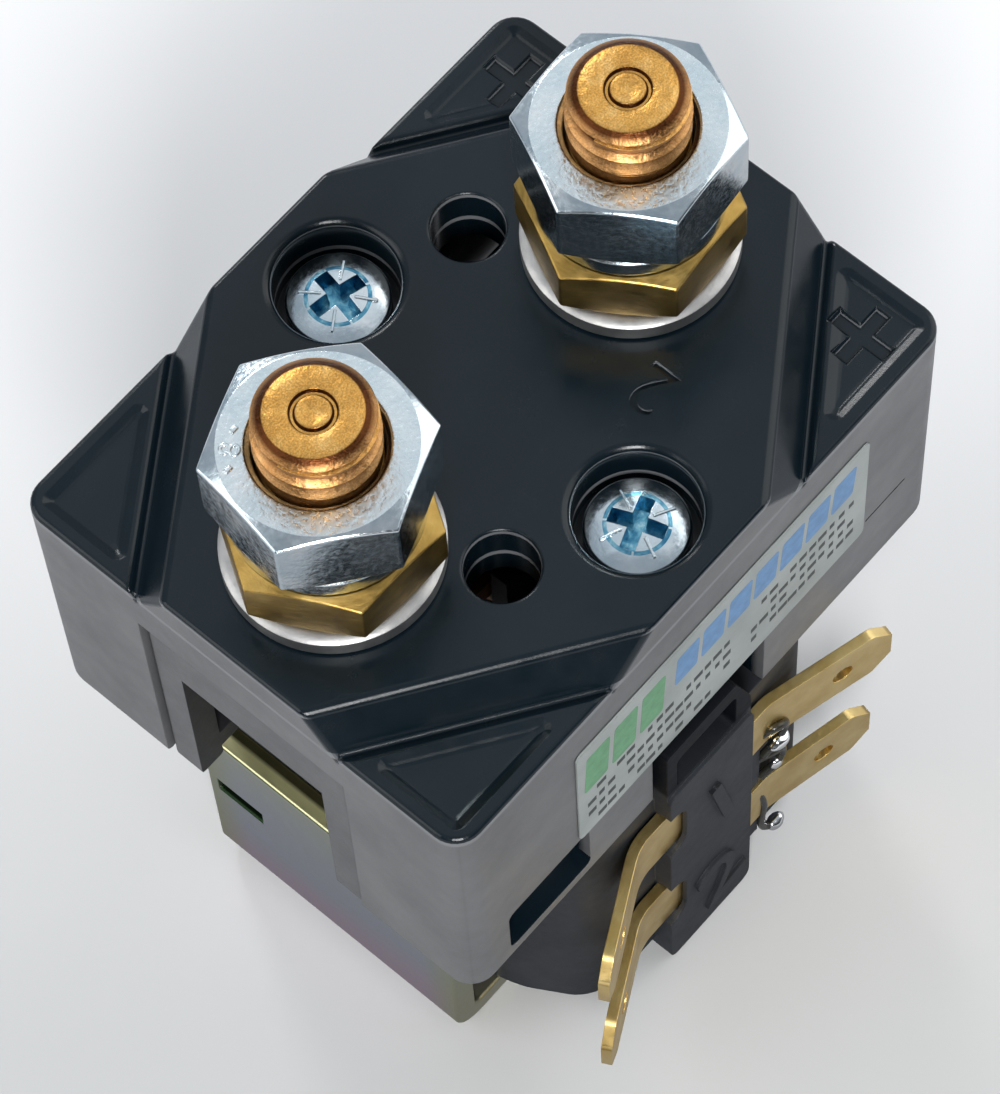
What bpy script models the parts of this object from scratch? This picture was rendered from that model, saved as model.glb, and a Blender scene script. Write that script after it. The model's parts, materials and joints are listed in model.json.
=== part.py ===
# Single-pole direct-current contactor with two copper studs on a moulded cover.
# Metres, +Z up. The origin is the centre of the underside of the steel frame,
# the studs stand along X and the coil terminals face -Y.

import math

import bmesh
import bpy
from mathutils import Matrix, Vector

MM = 0.001

# Clearances
SEAT = 0.2 * MM            # between two stacked faces
FIT = 0.1 * MM             # radial, round piece in a round hole
GAP = 0.3 * MM             # between neighbouring mouldings and plates
SKIN = 0.05 * MM           # between the label and the wall it is stuck on

# Overall size of the cover, from which most other sizes follow
COVER_HALF_X = 24.1 * MM
COVER_HALF_Y = 18.7 * MM
COVER_TOP = 58.5 * MM
COVER_FOOT = 30.5 * MM
NOTCH_DROP = 21.0 * MM
SCREW_INSET = 6.0 * MM
SCREW_Y = COVER_HALF_Y - SCREW_INSET

# Steel frame, a strip folded into a U
FRAME_INSET = 4.8 * MM
FRAME_HALF_X = COVER_HALF_X - FRAME_INSET
FRAME_HALF_Y = 11.5 * MM
FRAME_SHEET = 2.0 * MM
FRAME_LEG_TOP = 21.3 * MM
FRAME_BEND = 2.6 * MM
LEG_SLOT_Y = 8.6 * MM
LEG_SLOT_Z = 12.8 * MM
LEG_SLOT_LENGTH = 4.2 * MM
LEG_SLOT_WIDTH = 1.1 * MM
FIXING_HOLE_RADIUS = 2.1 * MM
FIXING_HOLE_INSET = 7.8 * MM
FIXING_HOLE_X = FRAME_HALF_X - FIXING_HOLE_INSET

# Coil: moulded body, bobbin and winding
COIL_BELOW_COVER = 1.8 * MM
COIL_TOP = COVER_FOOT - COIL_BELOW_COVER
COIL_INSET = 0.6 * MM
COIL_HALF_Y = COVER_HALF_Y - COIL_INSET
COIL_FLAT_INSET = 7.9 * MM
COIL_FLAT_HALF_X = FRAME_HALF_X - COIL_FLAT_INSET
COIL_CORNER_RUN = 6.1 * MM
COIL_CORNER_Y = COIL_HALF_Y - COIL_CORNER_RUN
COIL_CORNER_FILLET = 2.2 * MM
COIL_WALL = 1.2 * MM
BOBBIN_FLANGE = 1.3 * MM
BOBBIN_HUB_WALL = 1.0 * MM
WINDING_CLEAR = 0.25 * MM

# Terminal block, moulded with the coil body, and the heel above it
BLOCK_LEFT_X = 5.0 * MM
BLOCK_RIGHT_X = 3.8 * MM
BLOCK_PROUD = 0.9 * MM
BLOCK_FRONT_Y = COVER_HALF_Y + BLOCK_PROUD
BLOCK_ROOT = 1.8 * MM
BLOCK_BACK_Y = COIL_HALF_Y - BLOCK_ROOT
BLOCK_RISE = 1.5 * MM
BLOCK_TOP = COIL_TOP + BLOCK_RISE
BLOCK_EDGE = 0.4 * MM
HEEL_ROOT = 4.0 * MM
HEEL_FOOT = COIL_TOP - HEEL_ROOT
HEEL_PROUD = 0.6 * MM
HEEL_FRONT_Y = COVER_HALF_Y + HEEL_PROUD
HEEL_CLEARANCE = 0.5 * MM
HEEL_TOP = COVER_TOP - NOTCH_DROP - HEEL_CLEARANCE
HEEL_CORNER_X = 1.7 * MM
HEEL_CORNER_Z = 4.6 * MM
POCKET_LEFT_X = 4.0 * MM
POCKET_RIGHT_X = 2.2 * MM
POCKET_SILL = 0.4 * MM
POCKET_FOOT = BLOCK_TOP + POCKET_SILL
POCKET_LINTEL = 2.0 * MM
POCKET_TOP = HEEL_TOP - POCKET_LINTEL
POCKET_DEPTH = 1.6 * MM
RIB_X = 5.5 * MM
RIB_PROUD = 0.2 * MM
RIB_FRONT_Y = COVER_HALF_Y + RIB_PROUD
RIB_FOOT = 4.5 * MM
RIB_TOP = 21.5 * MM

# Coil terminals, one strip with two spades for each end of the winding
SPADE_WIDTH = 5.9 * MM
SPADE_THICK = 0.8 * MM
SPADE_DROP = 5.4 * MM
SPADE_UPPER_Z = COIL_TOP - SPADE_DROP
SPADE_PITCH_Z = 13.0 * MM
SPADE_PLANE_Y = COVER_HALF_Y
SPADE_TIP_TAPER = 1.6 * MM
SPADE_HOLE_RADIUS = 0.85 * MM
SPADE_HOLE_FROM_TIP = 4.2 * MM
LEFT_ROOT = 2.8 * MM
LEFT_BEND_X = BLOCK_LEFT_X + LEFT_ROOT
LEFT_LENGTH = 9.8 * MM
LEFT_SPLAY = 28.0
LEFT_FOLD_STEP = 1.2 * MM
RIGHT_ROOT = 2.4 * MM
RIGHT_BEND_X = BLOCK_RIGHT_X + RIGHT_ROOT
RIGHT_LENGTH = (10.6 * MM, 9.5 * MM)
RIGHT_SPLAY = (15.0, 13.0)
RIGHT_FOLD_STEP = 0.5 * MM
ROOT_SEEN = 1.6 * MM
ROOT_CLEAR = 0.35 * MM

# Magnet: yoke plate, fixed pole and plunger
YOKE_SHEET = 1.8 * MM
YOKE_MARGIN = 3.2 * MM
YOKE_HALF_Y = SCREW_Y + YOKE_MARGIN
YOKE_FLANGE_DEPTH = 10.2 * MM
YOKE_BEND = 2.0 * MM
PLUNGER_RADIUS = 0.29 * FRAME_HALF_X
BORE_CLEARANCE = 0.4 * MM
BORE_RADIUS = PLUNGER_RADIUS + BORE_CLEARANCE
PLUNGER_TRAVEL = 3.0 * MM
POLE_FOOT = 17.0 * MM
POLE_SHOULDER = 1.4 * MM
POLE_SPIGOT_RADIUS = PLUNGER_RADIUS - POLE_SHOULDER
POLE_AIR_GAP = 0.15 * MM
POLE_RIM = 2.0 * MM
SPRING_POCKET_RADIUS = PLUNGER_RADIUS - POLE_RIM
SPRING_POCKET_DEPTH = 7.0 * MM

# Spindle and its collar
SPINDLE_RADIUS = 1.5 * MM
SPINDLE_FOOT = 5.0 * MM
COLLAR_RADIUS = 3.4 * MM
COLLAR_HEIGHT = 1.0 * MM
SPINDLE_PROUD = 0.8 * MM

# Contact housing, the moulding under the cover
TRAY_FLOOR = 2.0 * MM
TRAY_CLEARANCE = 0.5 * MM
EAR_OUTER_HALF_Y = 8.6 * MM
EAR_INNER_HALF_Y = 6.1 * MM
EAR_THICK = 2.1 * MM
EAR_RECESS = 0.4 * MM
EAR_DROP = 0.6 * MM
EAR_FOOT = COVER_FOOT - EAR_DROP
EAR_ARCH_DROP = 13.0 * MM
EAR_ARCH_Z = COVER_TOP - EAR_ARCH_DROP
EAR_ARCH_DEPTH = 4.9 * MM
GUIDE_HALF_X = 5.5 * MM
GUIDE_WALL = 1.4 * MM
GUIDE_HEIGHT = 14.0 * MM

# Moving contact
STUD_INSET = 9.7 * MM
STUD_X = COVER_HALF_X - STUD_INSET
BRIDGE_OVERHANG = 4.0 * MM
BRIDGE_HALF_X = STUD_X + BRIDGE_OVERHANG
BRIDGE_HALF_Y = 4.4 * MM
BRIDGE_THICK = 2.0 * MM
BUSH_RADIUS = 2.9 * MM
BUSH_FLANGE_RADIUS = 4.1 * MM
BUSH_FLANGE = 1.0 * MM
CLIP_THICK = 0.7 * MM
CLIP_RADIUS = 2.9 * MM
MOVING_TIP_RADIUS = 3.2 * MM
MOVING_TIP_THICK = 1.0 * MM
FIXED_TIP_THICK = 1.2 * MM
OVERTRAVEL = 0.75 * MM
CLOSED_GAP = 0.1 * MM

# Cover moulding
COVER_CORNER = 2.0 * MM
COVER_WALL = 2.0 * MM
COVER_ROOF = 5.4 * MM
COVER_EDGE = 0.6 * MM
PLATEAU_END_HALF_Y = 0.31 * COVER_HALF_Y
PLATEAU_SIDE_HALF_X = 0.224 * COVER_HALF_X
SLOPE_RUN = 2.2 * MM
SLOPE_DROP = 3.2 * MM
PAD_RISE = 0.7 * MM
PAD_LEDGE = 0.4 * MM
PAD_PANEL_SINK = 0.3 * MM
PAD_OUTER_RIM = 1.2 * MM
PAD_SLOPE_RIM = 0.45 * MM
WINDOW_CLEARANCE = 0.2 * MM
WINDOW_HALF_Y = EAR_OUTER_HALF_Y + WINDOW_CLEARANCE
WINDOW_DROP = 7.0 * MM
WINDOW_TOP = COVER_TOP - WINDOW_DROP
NOTCH_HALF_X = 5.8 * MM
NOTCH_TOP = COVER_TOP - NOTCH_DROP
SIDE_SLOT_NEAR_INSET = 11.9 * MM
SIDE_SLOT_NEAR_X = COVER_HALF_X - SIDE_SLOT_NEAR_INSET
SIDE_SLOT_FAR_INSET = 3.8 * MM
SIDE_SLOT_FAR_X = COVER_HALF_X - SIDE_SLOT_FAR_INSET
SIDE_SLOT_RISE = 1.5 * MM
SIDE_SLOT_LOW = COVER_FOOT + SIDE_SLOT_RISE
SIDE_SLOT_HIGH = NOTCH_TOP
VENT_X = 0.35 * COVER_HALF_X
VENT_Y = 0.469 * COVER_HALF_Y
VENT_RADIUS = 2.47 * MM
COUNTERBORE_RADIUS = 4.2 * MM
COUNTERBORE_DEPTH = 4.3 * MM
BOSS_RADIUS = 3.6 * MM

# Plus marks sunk in the cover
MARK_DEPTH = 0.35 * MM
PLUS_ARM = 2.2 * MM
PLUS_LINE = 0.7 * MM
PLUS_INSET_X = 4.2 * MM
PLUS_X = COVER_HALF_X - PLUS_INSET_X
PLUS_INSET_Y = 3.9 * MM
PLUS_Y = COVER_HALF_Y - PLUS_INSET_Y

# Cover screws
SCREW_HEAD_RADIUS = 3.5 * MM
SCREW_HEAD_HEIGHT = 2.5 * MM
SCREW_DOME = 1.1 * MM
SCREW_RADIUS = 1.75 * MM
RECESS_ARM = 2.1 * MM
RECESS_WIDTH = 0.9 * MM
RECESS_DEPTH = 1.3 * MM

# Main studs and what is stacked on them
STUD_RADIUS = 4.0 * MM
STUD_RISE = 19.4 * MM
STUD_TOP = COVER_TOP + STUD_RISE
STUD_CHAMFER = 0.9 * MM
STUD_RING_OUTER = 1.57 * MM
STUD_RING_INNER = 1.1 * MM
STUD_RING_DEPTH = 0.35 * MM
STUD_HEAD_HALF_X = 5.6 * MM
STUD_HEAD_HALF_Y = 5.6 * MM
STUD_HEAD_HEIGHT = 3.2 * MM
HOLE_CLEARANCE = 0.3 * MM
WASHER_RADIUS = 7.4 * MM
WASHER_THICK = 1.6 * MM
NUT_ACROSS_FLATS = 13.0 * MM
BRASS_NUT_HEIGHT = 4.6 * MM
STEEL_NUT_HEIGHT = 6.3 * MM
NUT_CHAMFER_RADIUS = 6.2 * MM
LOCK_WASHER_RADIUS = 6.3 * MM
LOCK_WASHER_THICK = 1.9 * MM
LOCK_WASHER_SPLIT = 0.9 * MM
BRASS_NUT_TURN = (28.1, 33.6)
STEEL_NUT_TURN = (-8.4, 34.0)

# Label
LABEL_LEFT_INSET = 10.8 * MM
LABEL_X0 = LABEL_LEFT_INSET - COVER_HALF_X
LABEL_RIGHT_INSET = 8.1 * MM
LABEL_X1 = COVER_HALF_X - LABEL_RIGHT_INSET
LABEL_FOOT_DROP = 20.6 * MM
LABEL_Z0 = COVER_TOP - LABEL_FOOT_DROP
LABEL_TOP_DROP = 7.0 * MM
LABEL_Z1 = COVER_TOP - LABEL_TOP_DROP
LABEL_THICK = 0.12 * MM

# Springs
RETURN_WIRE = 0.7 * MM
RETURN_COIL_RADIUS = SPRING_POCKET_RADIUS - RETURN_WIRE
RETURN_TURNS = 6.0
CONTACT_WIRE = 0.7 * MM
CONTACT_COIL_RADIUS = 2.7 * MM
CONTACT_TURNS = 5.0
SPRING_POINTS_PER_TURN = 10

ROUND_STEPS = 32
SMALL_STEPS = 20

# Derived levels
INNER_HALF_X = COVER_HALF_X - COVER_WALL
INNER_HALF_Y = COVER_HALF_Y - COVER_WALL
COIL_FOOT = FRAME_SHEET + GAP
PLUNGER_FOOT = FRAME_SHEET + GAP
YOKE_FOOT = COIL_TOP + GAP
YOKE_TOP = YOKE_FOOT + YOKE_SHEET
YOKE_HALF_X = FRAME_HALF_X - FRAME_SHEET - GAP
COIL_HALF_X = YOKE_HALF_X - YOKE_SHEET - GAP
TRAY_FOOT = YOKE_TOP + GAP
TRAY_HALF_X = INNER_HALF_X - GAP
TRAY_HALF_Y = INNER_HALF_Y - TRAY_CLEARANCE
TRAY_TOP = TRAY_FOOT + TRAY_FLOOR
ROOF_INSIDE = COVER_TOP - COVER_ROOF
PAD_LEVEL = COVER_TOP - SLOPE_DROP + PAD_RISE
EAR_OUTER_X = COVER_HALF_X - EAR_RECESS
EAR_INNER_X = EAR_OUTER_X - EAR_THICK
PLUNGER_TOP = POLE_FOOT - PLUNGER_TRAVEL - POLE_AIR_GAP
COLLAR_FOOT = TRAY_TOP + GAP
COLLAR_TOP = COLLAR_FOOT + COLLAR_HEIGHT
STUD_HEAD_TOP = ROOF_INSIDE - SEAT
STUD_HEAD_FOOT = STUD_HEAD_TOP - STUD_HEAD_HEIGHT
FIXED_TIP_FOOT = STUD_HEAD_FOOT - SKIN - FIXED_TIP_THICK
MOVING_TIP_TOP = FIXED_TIP_FOOT - CLOSED_GAP - (PLUNGER_TRAVEL - OVERTRAVEL)
BRIDGE_TOP = MOVING_TIP_TOP - MOVING_TIP_THICK - SKIN
BRIDGE_FOOT = BRIDGE_TOP - BRIDGE_THICK
BUSH_FOOT = BRIDGE_FOOT - SKIN - BUSH_FLANGE
BUSH_TOP = BRIDGE_TOP + GAP
CLIP_FOOT = BUSH_TOP + SEAT
SPINDLE_TOP = CLIP_FOOT + CLIP_THICK + SPINDLE_PROUD
WASHER_FOOT = COVER_TOP + SEAT
BRASS_NUT_FOOT = WASHER_FOOT + WASHER_THICK + SEAT
LOCK_WASHER_FOOT = BRASS_NUT_FOOT + BRASS_NUT_HEIGHT + SEAT
STEEL_NUT_FOOT = LOCK_WASHER_FOOT + LOCK_WASHER_THICK + SEAT
SCREW_SEAT = COVER_TOP - COUNTERBORE_DEPTH
SCREW_TIP = YOKE_FOOT + SEAT

for old in list(bpy.data.objects):
    bpy.data.objects.remove(old, do_unlink=True)

parts = bpy.data.collections.new("contactor")
cutters = bpy.data.collections.new("contactor_cutters")
bpy.context.scene.collection.children.link(parts)
bpy.context.scene.collection.children.link(cutters)


def material(name, colour, roughness, metallic):
    """Principled material with one colour."""
    mat = bpy.data.materials.new(name)
    mat.use_nodes = True
    shader = mat.node_tree.nodes["Principled BSDF"]
    shader.inputs["Base Color"].default_value = (*colour, 1.0)
    shader.inputs["Roughness"].default_value = roughness
    shader.inputs["Metallic"].default_value = metallic
    mat.diffuse_color = (*colour, 1.0)
    return mat


BLACK_MOULDING = material("black_moulding", (0.018, 0.019, 0.024), 0.30, 0.0)
INNER_MOULDING = material("inner_moulding", (0.030, 0.030, 0.034), 0.50, 0.0)
COIL_MOULDING = material("coil_moulding", (0.035, 0.036, 0.042), 0.62, 0.0)
BOBBIN_NYLON = material("bobbin_nylon", (0.55, 0.52, 0.45), 0.55, 0.0)
ENAMELLED_COPPER = material("enamelled_copper", (0.48, 0.17, 0.06), 0.35, 1.0)
STUD_COPPER = material("stud_copper", (0.72, 0.40, 0.17), 0.38, 1.0)
SILVER = material("silver_tip", (0.85, 0.84, 0.80), 0.35, 1.0)
BRASS = material("brass", (0.62, 0.46, 0.15), 0.38, 1.0)
GOLD_BRASS = material("spade_brass", (0.78, 0.56, 0.20), 0.33, 1.0)
ZINC = material("blue_zinc", (0.60, 0.67, 0.70), 0.30, 1.0)
WASHER_STEEL = material("washer_steel", (0.66, 0.64, 0.62), 0.42, 1.0)
FRAME_STEEL = material("passivated_steel", (0.62, 0.63, 0.56), 0.40, 1.0)
MAGNET_IRON = material("magnet_iron", (0.50, 0.50, 0.50), 0.45, 1.0)
SPRING_STEEL = material("spring_steel", (0.55, 0.55, 0.57), 0.30, 1.0)
LABEL_FOIL = material("label_foil", (0.62, 0.67, 0.66), 0.45, 0.0)


def new_object(name, mesh, mat=None, group=parts):
    """Link a mesh as a named object; cutters get wire display."""
    obj = bpy.data.objects.new(name, mesh)
    group.objects.link(obj)
    if mat is not None:
        obj.data.materials.append(mat)
    if group is cutters:
        obj.hide_render = True
        obj.display_type = "WIRE"
    return obj


def mesh_from(name, bm):
    """Turn a bmesh into a mesh with outward faces."""
    bmesh.ops.recalc_face_normals(bm, faces=bm.faces)
    mesh = bpy.data.meshes.new(name)
    bm.to_mesh(mesh)
    bm.free()
    return mesh


def box_mesh(name, low, high, bevel=0.0, segments=2, vertical_only=False):
    """Box between two corners, with rounded edges if asked."""
    bm = bmesh.new()
    bmesh.ops.create_cube(bm, size=1.0)
    size = Vector(high) - Vector(low)
    centre = (Vector(high) + Vector(low)) / 2
    bmesh.ops.scale(bm, vec=size, verts=bm.verts)
    bmesh.ops.translate(bm, vec=centre, verts=bm.verts)
    if bevel > 0.0:
        edges = [e for e in bm.edges if not vertical_only or is_vertical(e)]
        bmesh.ops.bevel(bm, geom=edges, offset=bevel, segments=segments, profile=0.5, affect="EDGES")
    return mesh_from(name, bm)


def is_vertical(edge):
    """True for an edge that runs along Z."""
    a, b = (v.co for v in edge.verts)
    return abs(a.x - b.x) < 1e-7 and abs(a.y - b.y) < 1e-7


def box(name, low, high, mat=None, group=parts, **rounding):
    return new_object(name, box_mesh(name, low, high, **rounding), mat, group)


def prism_mesh(name, outline, z0, z1, fillet=0.0, segments=5):
    """Upright prism on an outline of (x, y) points, its upright edges rounded."""
    bm = bmesh.new()
    verts = [bm.verts.new((x, y, z0)) for x, y in outline]
    base = bm.faces.new(verts)
    top = bmesh.ops.extrude_face_region(bm, geom=[base])["geom"]
    moved = [v for v in top if isinstance(v, bmesh.types.BMVert)]
    bmesh.ops.translate(bm, vec=(0, 0, z1 - z0), verts=moved)
    if fillet > 0.0:
        edges = [e for e in bm.edges if is_vertical(e)]
        bmesh.ops.bevel(bm, geom=edges, offset=fillet, segments=segments, profile=0.5, affect="EDGES")
    return mesh_from(name, bm)


def prism(name, outline, z0, z1, mat=None, group=parts, **rounding):
    return new_object(name, prism_mesh(name, outline, z0, z1, **rounding), mat, group)


def rectangle(half_x, half_y):
    return [(-half_x, -half_y), (half_x, -half_y), (half_x, half_y), (-half_x, half_y)]


def turned(name, profile, mat=None, group=parts, at=(0.0, 0.0), steps=ROUND_STEPS, closed=False):
    """Turned piece: the (radius, z) profile runs down its outer side."""
    mesh = bpy.data.meshes.new(name)
    count = len(profile)
    edges = [(i, i + 1) for i in range(count - 1)]
    if closed:
        edges.append((count - 1, 0))
    mesh.from_pydata([(r, 0.0, z) for r, z in profile], edges, [])
    obj = new_object(name, mesh, mat, group)
    obj.location = (at[0], at[1], 0.0)
    screw = obj.modifiers.new("turn", "SCREW")
    screw.steps = steps
    screw.render_steps = steps
    screw.use_merge_vertices = True
    screw.merge_threshold = 1e-5
    screw.use_smooth_shade = False
    return obj


def rod(name, radius, z0, z1, mat=None, group=parts, at=(0.0, 0.0), steps=SMALL_STEPS, chamfer=0.0):
    """Plain round bar along Z, with equal end chamfers."""
    if chamfer > 0.0:
        rings = [(0, z1), (radius - chamfer, z1), (radius, z1 - chamfer)]
        rings += [(radius, z0 + chamfer), (radius - chamfer, z0), (0, z0)]
    else:
        rings = [(0, z1), (radius, z1), (radius, z0), (0, z0)]
    return turned(name, rings, mat, group, at, steps)


def ring(name, inner, outer, z0, z1, mat=None, group=parts, at=(0.0, 0.0), steps=ROUND_STEPS, edge=0.0):
    """Flat ring with a small chamfer on its outer edges."""
    section = [(inner, z1), (outer - edge, z1), (outer, z1 - edge), (outer, z0 + edge)]
    section += [(outer - edge, z0), (inner, z0)]
    if edge == 0.0:
        section = [(inner, z1), (outer, z1), (outer, z0), (inner, z0)]
    return turned(name, section, mat, group, at, steps, closed=True)


def boolean(target, tool, operation="DIFFERENCE", solver="EXACT"):
    """Cut, join or intersect with another object."""
    mod = target.modifiers.new(tool.name, "BOOLEAN")
    mod.operation = operation
    mod.solver = solver
    mod.object = tool
    return mod


def cut_hole(target, radius, z0, z1, at=(0.0, 0.0), steps=SMALL_STEPS):
    """Round hole along Z."""
    name = f"{target.name}_hole_{len(target.modifiers)}"
    boolean(target, rod(name, radius, z0, z1, None, cutters, at, steps))


def cut_box(target, low, high, **rounding):
    name = f"{target.name}_cut_{len(target.modifiers)}"
    boolean(target, box(name, low, high, None, cutters, **rounding))


def join_box(target, low, high, **rounding):
    name = f"{target.name}_join_{len(target.modifiers)}"
    boolean(target, box(name, low, high, None, cutters, **rounding), "UNION")


def upright_plate(name, outline, y0, y1):
    """Cutter on an outline of (x, z) points, from y0 back to y1."""
    bm = bmesh.new()
    face = bm.faces.new([bm.verts.new((x, y0, z)) for x, z in outline])
    back = bmesh.ops.extrude_face_region(bm, geom=[face])["geom"]
    moved = [v for v in back if isinstance(v, bmesh.types.BMVert)]
    bmesh.ops.translate(bm, vec=(0, y1 - y0, 0), verts=moved)
    return new_object(name, mesh_from(name, bm), None, cutters)


def soft_edges(target, width, segments=2, angle=30.0):
    """Rounded edges wherever two faces meet at more than the angle."""
    mod = target.modifiers.new("soft_edges", "BEVEL")
    mod.width = width
    mod.segments = segments
    mod.limit_method = "ANGLE"
    mod.angle_limit = math.radians(angle)
    mod.use_clamp_overlap = True
    return mod


def bent_strip(name, points, width, thick, mat, bend, segments=4):
    """Strip of sheet folded in the XZ plane along its outer line of points."""
    bm = bmesh.new()
    rows = []
    for x, z in points:
        rows.append([bm.verts.new((x, -width, z)), bm.verts.new((x, width, z))])
    for a, b in zip(rows, rows[1:]):
        bm.faces.new((a[0], a[1], b[1], b[0]))
    inner = [e for e in bm.edges if len(e.link_faces) == 2]
    bmesh.ops.bevel(bm, geom=inner, offset=bend, segments=segments, profile=0.5, affect="EDGES")
    mesh = bpy.data.meshes.new(name)
    bm.to_mesh(mesh)
    bm.free()
    obj = new_object(name, mesh, mat)
    wall = obj.modifiers.new("sheet", "SOLIDIFY")
    wall.thickness = thick
    wall.use_even_offset = True
    return obj


def build_frame():
    """U-shaped steel frame: base and two legs."""
    outline = [
        (-FRAME_HALF_X, FRAME_LEG_TOP),
        (-FRAME_HALF_X, 0.0),
        (FRAME_HALF_X, 0.0),
        (FRAME_HALF_X, FRAME_LEG_TOP),
    ]
    frame = bent_strip("steel_frame", outline, FRAME_HALF_Y, FRAME_SHEET, FRAME_STEEL, FRAME_BEND)
    frame.modifiers["sheet"].offset = -1.0
    below = -FRAME_SHEET
    above = 2 * FRAME_SHEET
    for side in (-1, 1):
        cut_hole(frame, FIXING_HOLE_RADIUS, below, above, at=(side * FIXING_HOLE_X, 0.0))
        y = -side * LEG_SLOT_Y
        x0, x1 = sorted((side * (FRAME_HALF_X + FRAME_SHEET), side * (FRAME_HALF_X - 2 * FRAME_SHEET)))
        low = (x0, y - LEG_SLOT_LENGTH / 2, LEG_SLOT_Z - LEG_SLOT_WIDTH / 2)
        high = (x1, y + LEG_SLOT_LENGTH / 2, LEG_SLOT_Z + LEG_SLOT_WIDTH / 2)
        cut_box(frame, low, high)
    return frame


def build_yoke():
    """Upper magnet plate with a flange folded down inside each leg."""
    foot = YOKE_TOP - YOKE_FLANGE_DEPTH
    outline = [(-YOKE_HALF_X, foot), (-YOKE_HALF_X, YOKE_TOP), (YOKE_HALF_X, YOKE_TOP), (YOKE_HALF_X, foot)]
    yoke = bent_strip("yoke_plate", outline, FRAME_HALF_Y, YOKE_SHEET, FRAME_STEEL, YOKE_BEND)
    yoke.modifiers["sheet"].offset = 1.0
    tab = YOKE_HALF_X - 2 * YOKE_BEND
    low = (-tab, -YOKE_HALF_Y, YOKE_FOOT)
    high = (tab, YOKE_HALF_Y, YOKE_TOP)
    join_box(yoke, low, high, bevel=1.5 * MM, vertical_only=True)
    below = YOKE_FOOT - GAP
    above = YOKE_TOP + GAP
    cut_hole(yoke, POLE_SPIGOT_RADIUS + FIT, below, above, steps=ROUND_STEPS)
    for side in (-1, 1):
        cut_hole(yoke, SCREW_RADIUS + FIT, below, above, at=(0.0, side * SCREW_Y))
    return yoke


def coil_outline():
    """Plan of the moulded coil body, a rectangle with long slanted corners."""
    x, y = COIL_HALF_X, COIL_HALF_Y
    fx, cy = COIL_FLAT_HALF_X, COIL_CORNER_Y
    return [(-x, -cy), (-fx, -y), (fx, -y), (x, -cy), (x, cy), (fx, y), (-fx, y), (-x, cy)]


def build_coil():
    """Moulded coil body with its terminal block, and the bobbin and winding in it."""
    body = prism("coil_body", coil_outline(), COIL_FOOT, COIL_TOP, COIL_MOULDING, fillet=COIL_CORNER_FILLET)
    flange_radius = COIL_HALF_X - COIL_WALL
    join_box(
        body,
        (-BLOCK_LEFT_X, -BLOCK_FRONT_Y, SEAT),
        (BLOCK_RIGHT_X, -BLOCK_BACK_Y, BLOCK_TOP),
        bevel=BLOCK_EDGE,
    )
    outline = [
        (-BLOCK_LEFT_X, HEEL_FOOT),
        (BLOCK_RIGHT_X, HEEL_FOOT),
        (BLOCK_RIGHT_X, HEEL_TOP - HEEL_CORNER_Z),
        (BLOCK_RIGHT_X - HEEL_CORNER_X, HEEL_TOP),
        (-BLOCK_LEFT_X, HEEL_TOP),
    ]
    heel = upright_plate("coil_heel", outline, -HEEL_FRONT_Y, -TRAY_HALF_Y - GAP)
    boolean(body, heel, "UNION")
    cut_box(
        body,
        (-POCKET_LEFT_X, -HEEL_FRONT_Y - GAP, POCKET_FOOT),
        (POCKET_RIGHT_X, POCKET_DEPTH - HEEL_FRONT_Y, POCKET_TOP),
    )
    join_box(
        body,
        (BLOCK_RIGHT_X - BLOCK_EDGE, -RIB_FRONT_Y, RIB_FOOT),
        (RIB_X, -BLOCK_BACK_Y, RIB_TOP),
    )
    cut_hole(body, flange_radius + FIT, COIL_FOOT - GAP, COIL_TOP + GAP, steps=ROUND_STEPS)
    for level in (0, 1):
        z = SPADE_UPPER_Z - level * SPADE_PITCH_Z
        cut_box(
            body,
            (-2 * BLOCK_LEFT_X, -SPADE_PLANE_Y - SPADE_THICK / 2 - FIT, z - SPADE_WIDTH / 2 - FIT),
            (2 * BLOCK_LEFT_X, -SPADE_PLANE_Y + SPADE_THICK / 2 + FIT, z + SPADE_WIDTH / 2 + FIT),
        )
        cut_box(
            body,
            (-BLOCK_LEFT_X - GAP, -BLOCK_FRONT_Y - GAP, z - SPADE_WIDTH / 2 - ROOT_CLEAR),
            (-BLOCK_LEFT_X + ROOT_SEEN, -SPADE_PLANE_Y, z + SPADE_WIDTH / 2 + ROOT_CLEAR),
        )
    hub_outer = BORE_RADIUS + BOBBIN_HUB_WALL
    low = COIL_FOOT
    high = COIL_TOP
    section = [
        (BORE_RADIUS, high),
        (flange_radius, high),
        (flange_radius, high - BOBBIN_FLANGE),
        (hub_outer, high - BOBBIN_FLANGE),
        (hub_outer, low + BOBBIN_FLANGE),
        (flange_radius, low + BOBBIN_FLANGE),
        (flange_radius, low),
        (BORE_RADIUS, low),
    ]
    turned("coil_bobbin", section, BOBBIN_NYLON, closed=True)
    ring(
        "coil_winding",
        hub_outer + WINDING_CLEAR,
        flange_radius - 2 * WINDING_CLEAR,
        low + BOBBIN_FLANGE + WINDING_CLEAR,
        high - BOBBIN_FLANGE - WINDING_CLEAR,
        ENAMELLED_COPPER,
    )
    return body


def spade_outline(half_span_left, half_span_right):
    """Flat pattern of a terminal strip in its length and height."""
    w = SPADE_WIDTH / 2
    t = SPADE_TIP_TAPER
    return [
        (-half_span_left, -w + t),
        (-half_span_left + t, -w),
        (half_span_right - t, -w),
        (half_span_right, -w + t),
        (half_span_right, w - t),
        (half_span_right - t, w),
        (-half_span_left + t, w),
        (-half_span_left, w - t),
    ]


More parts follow.
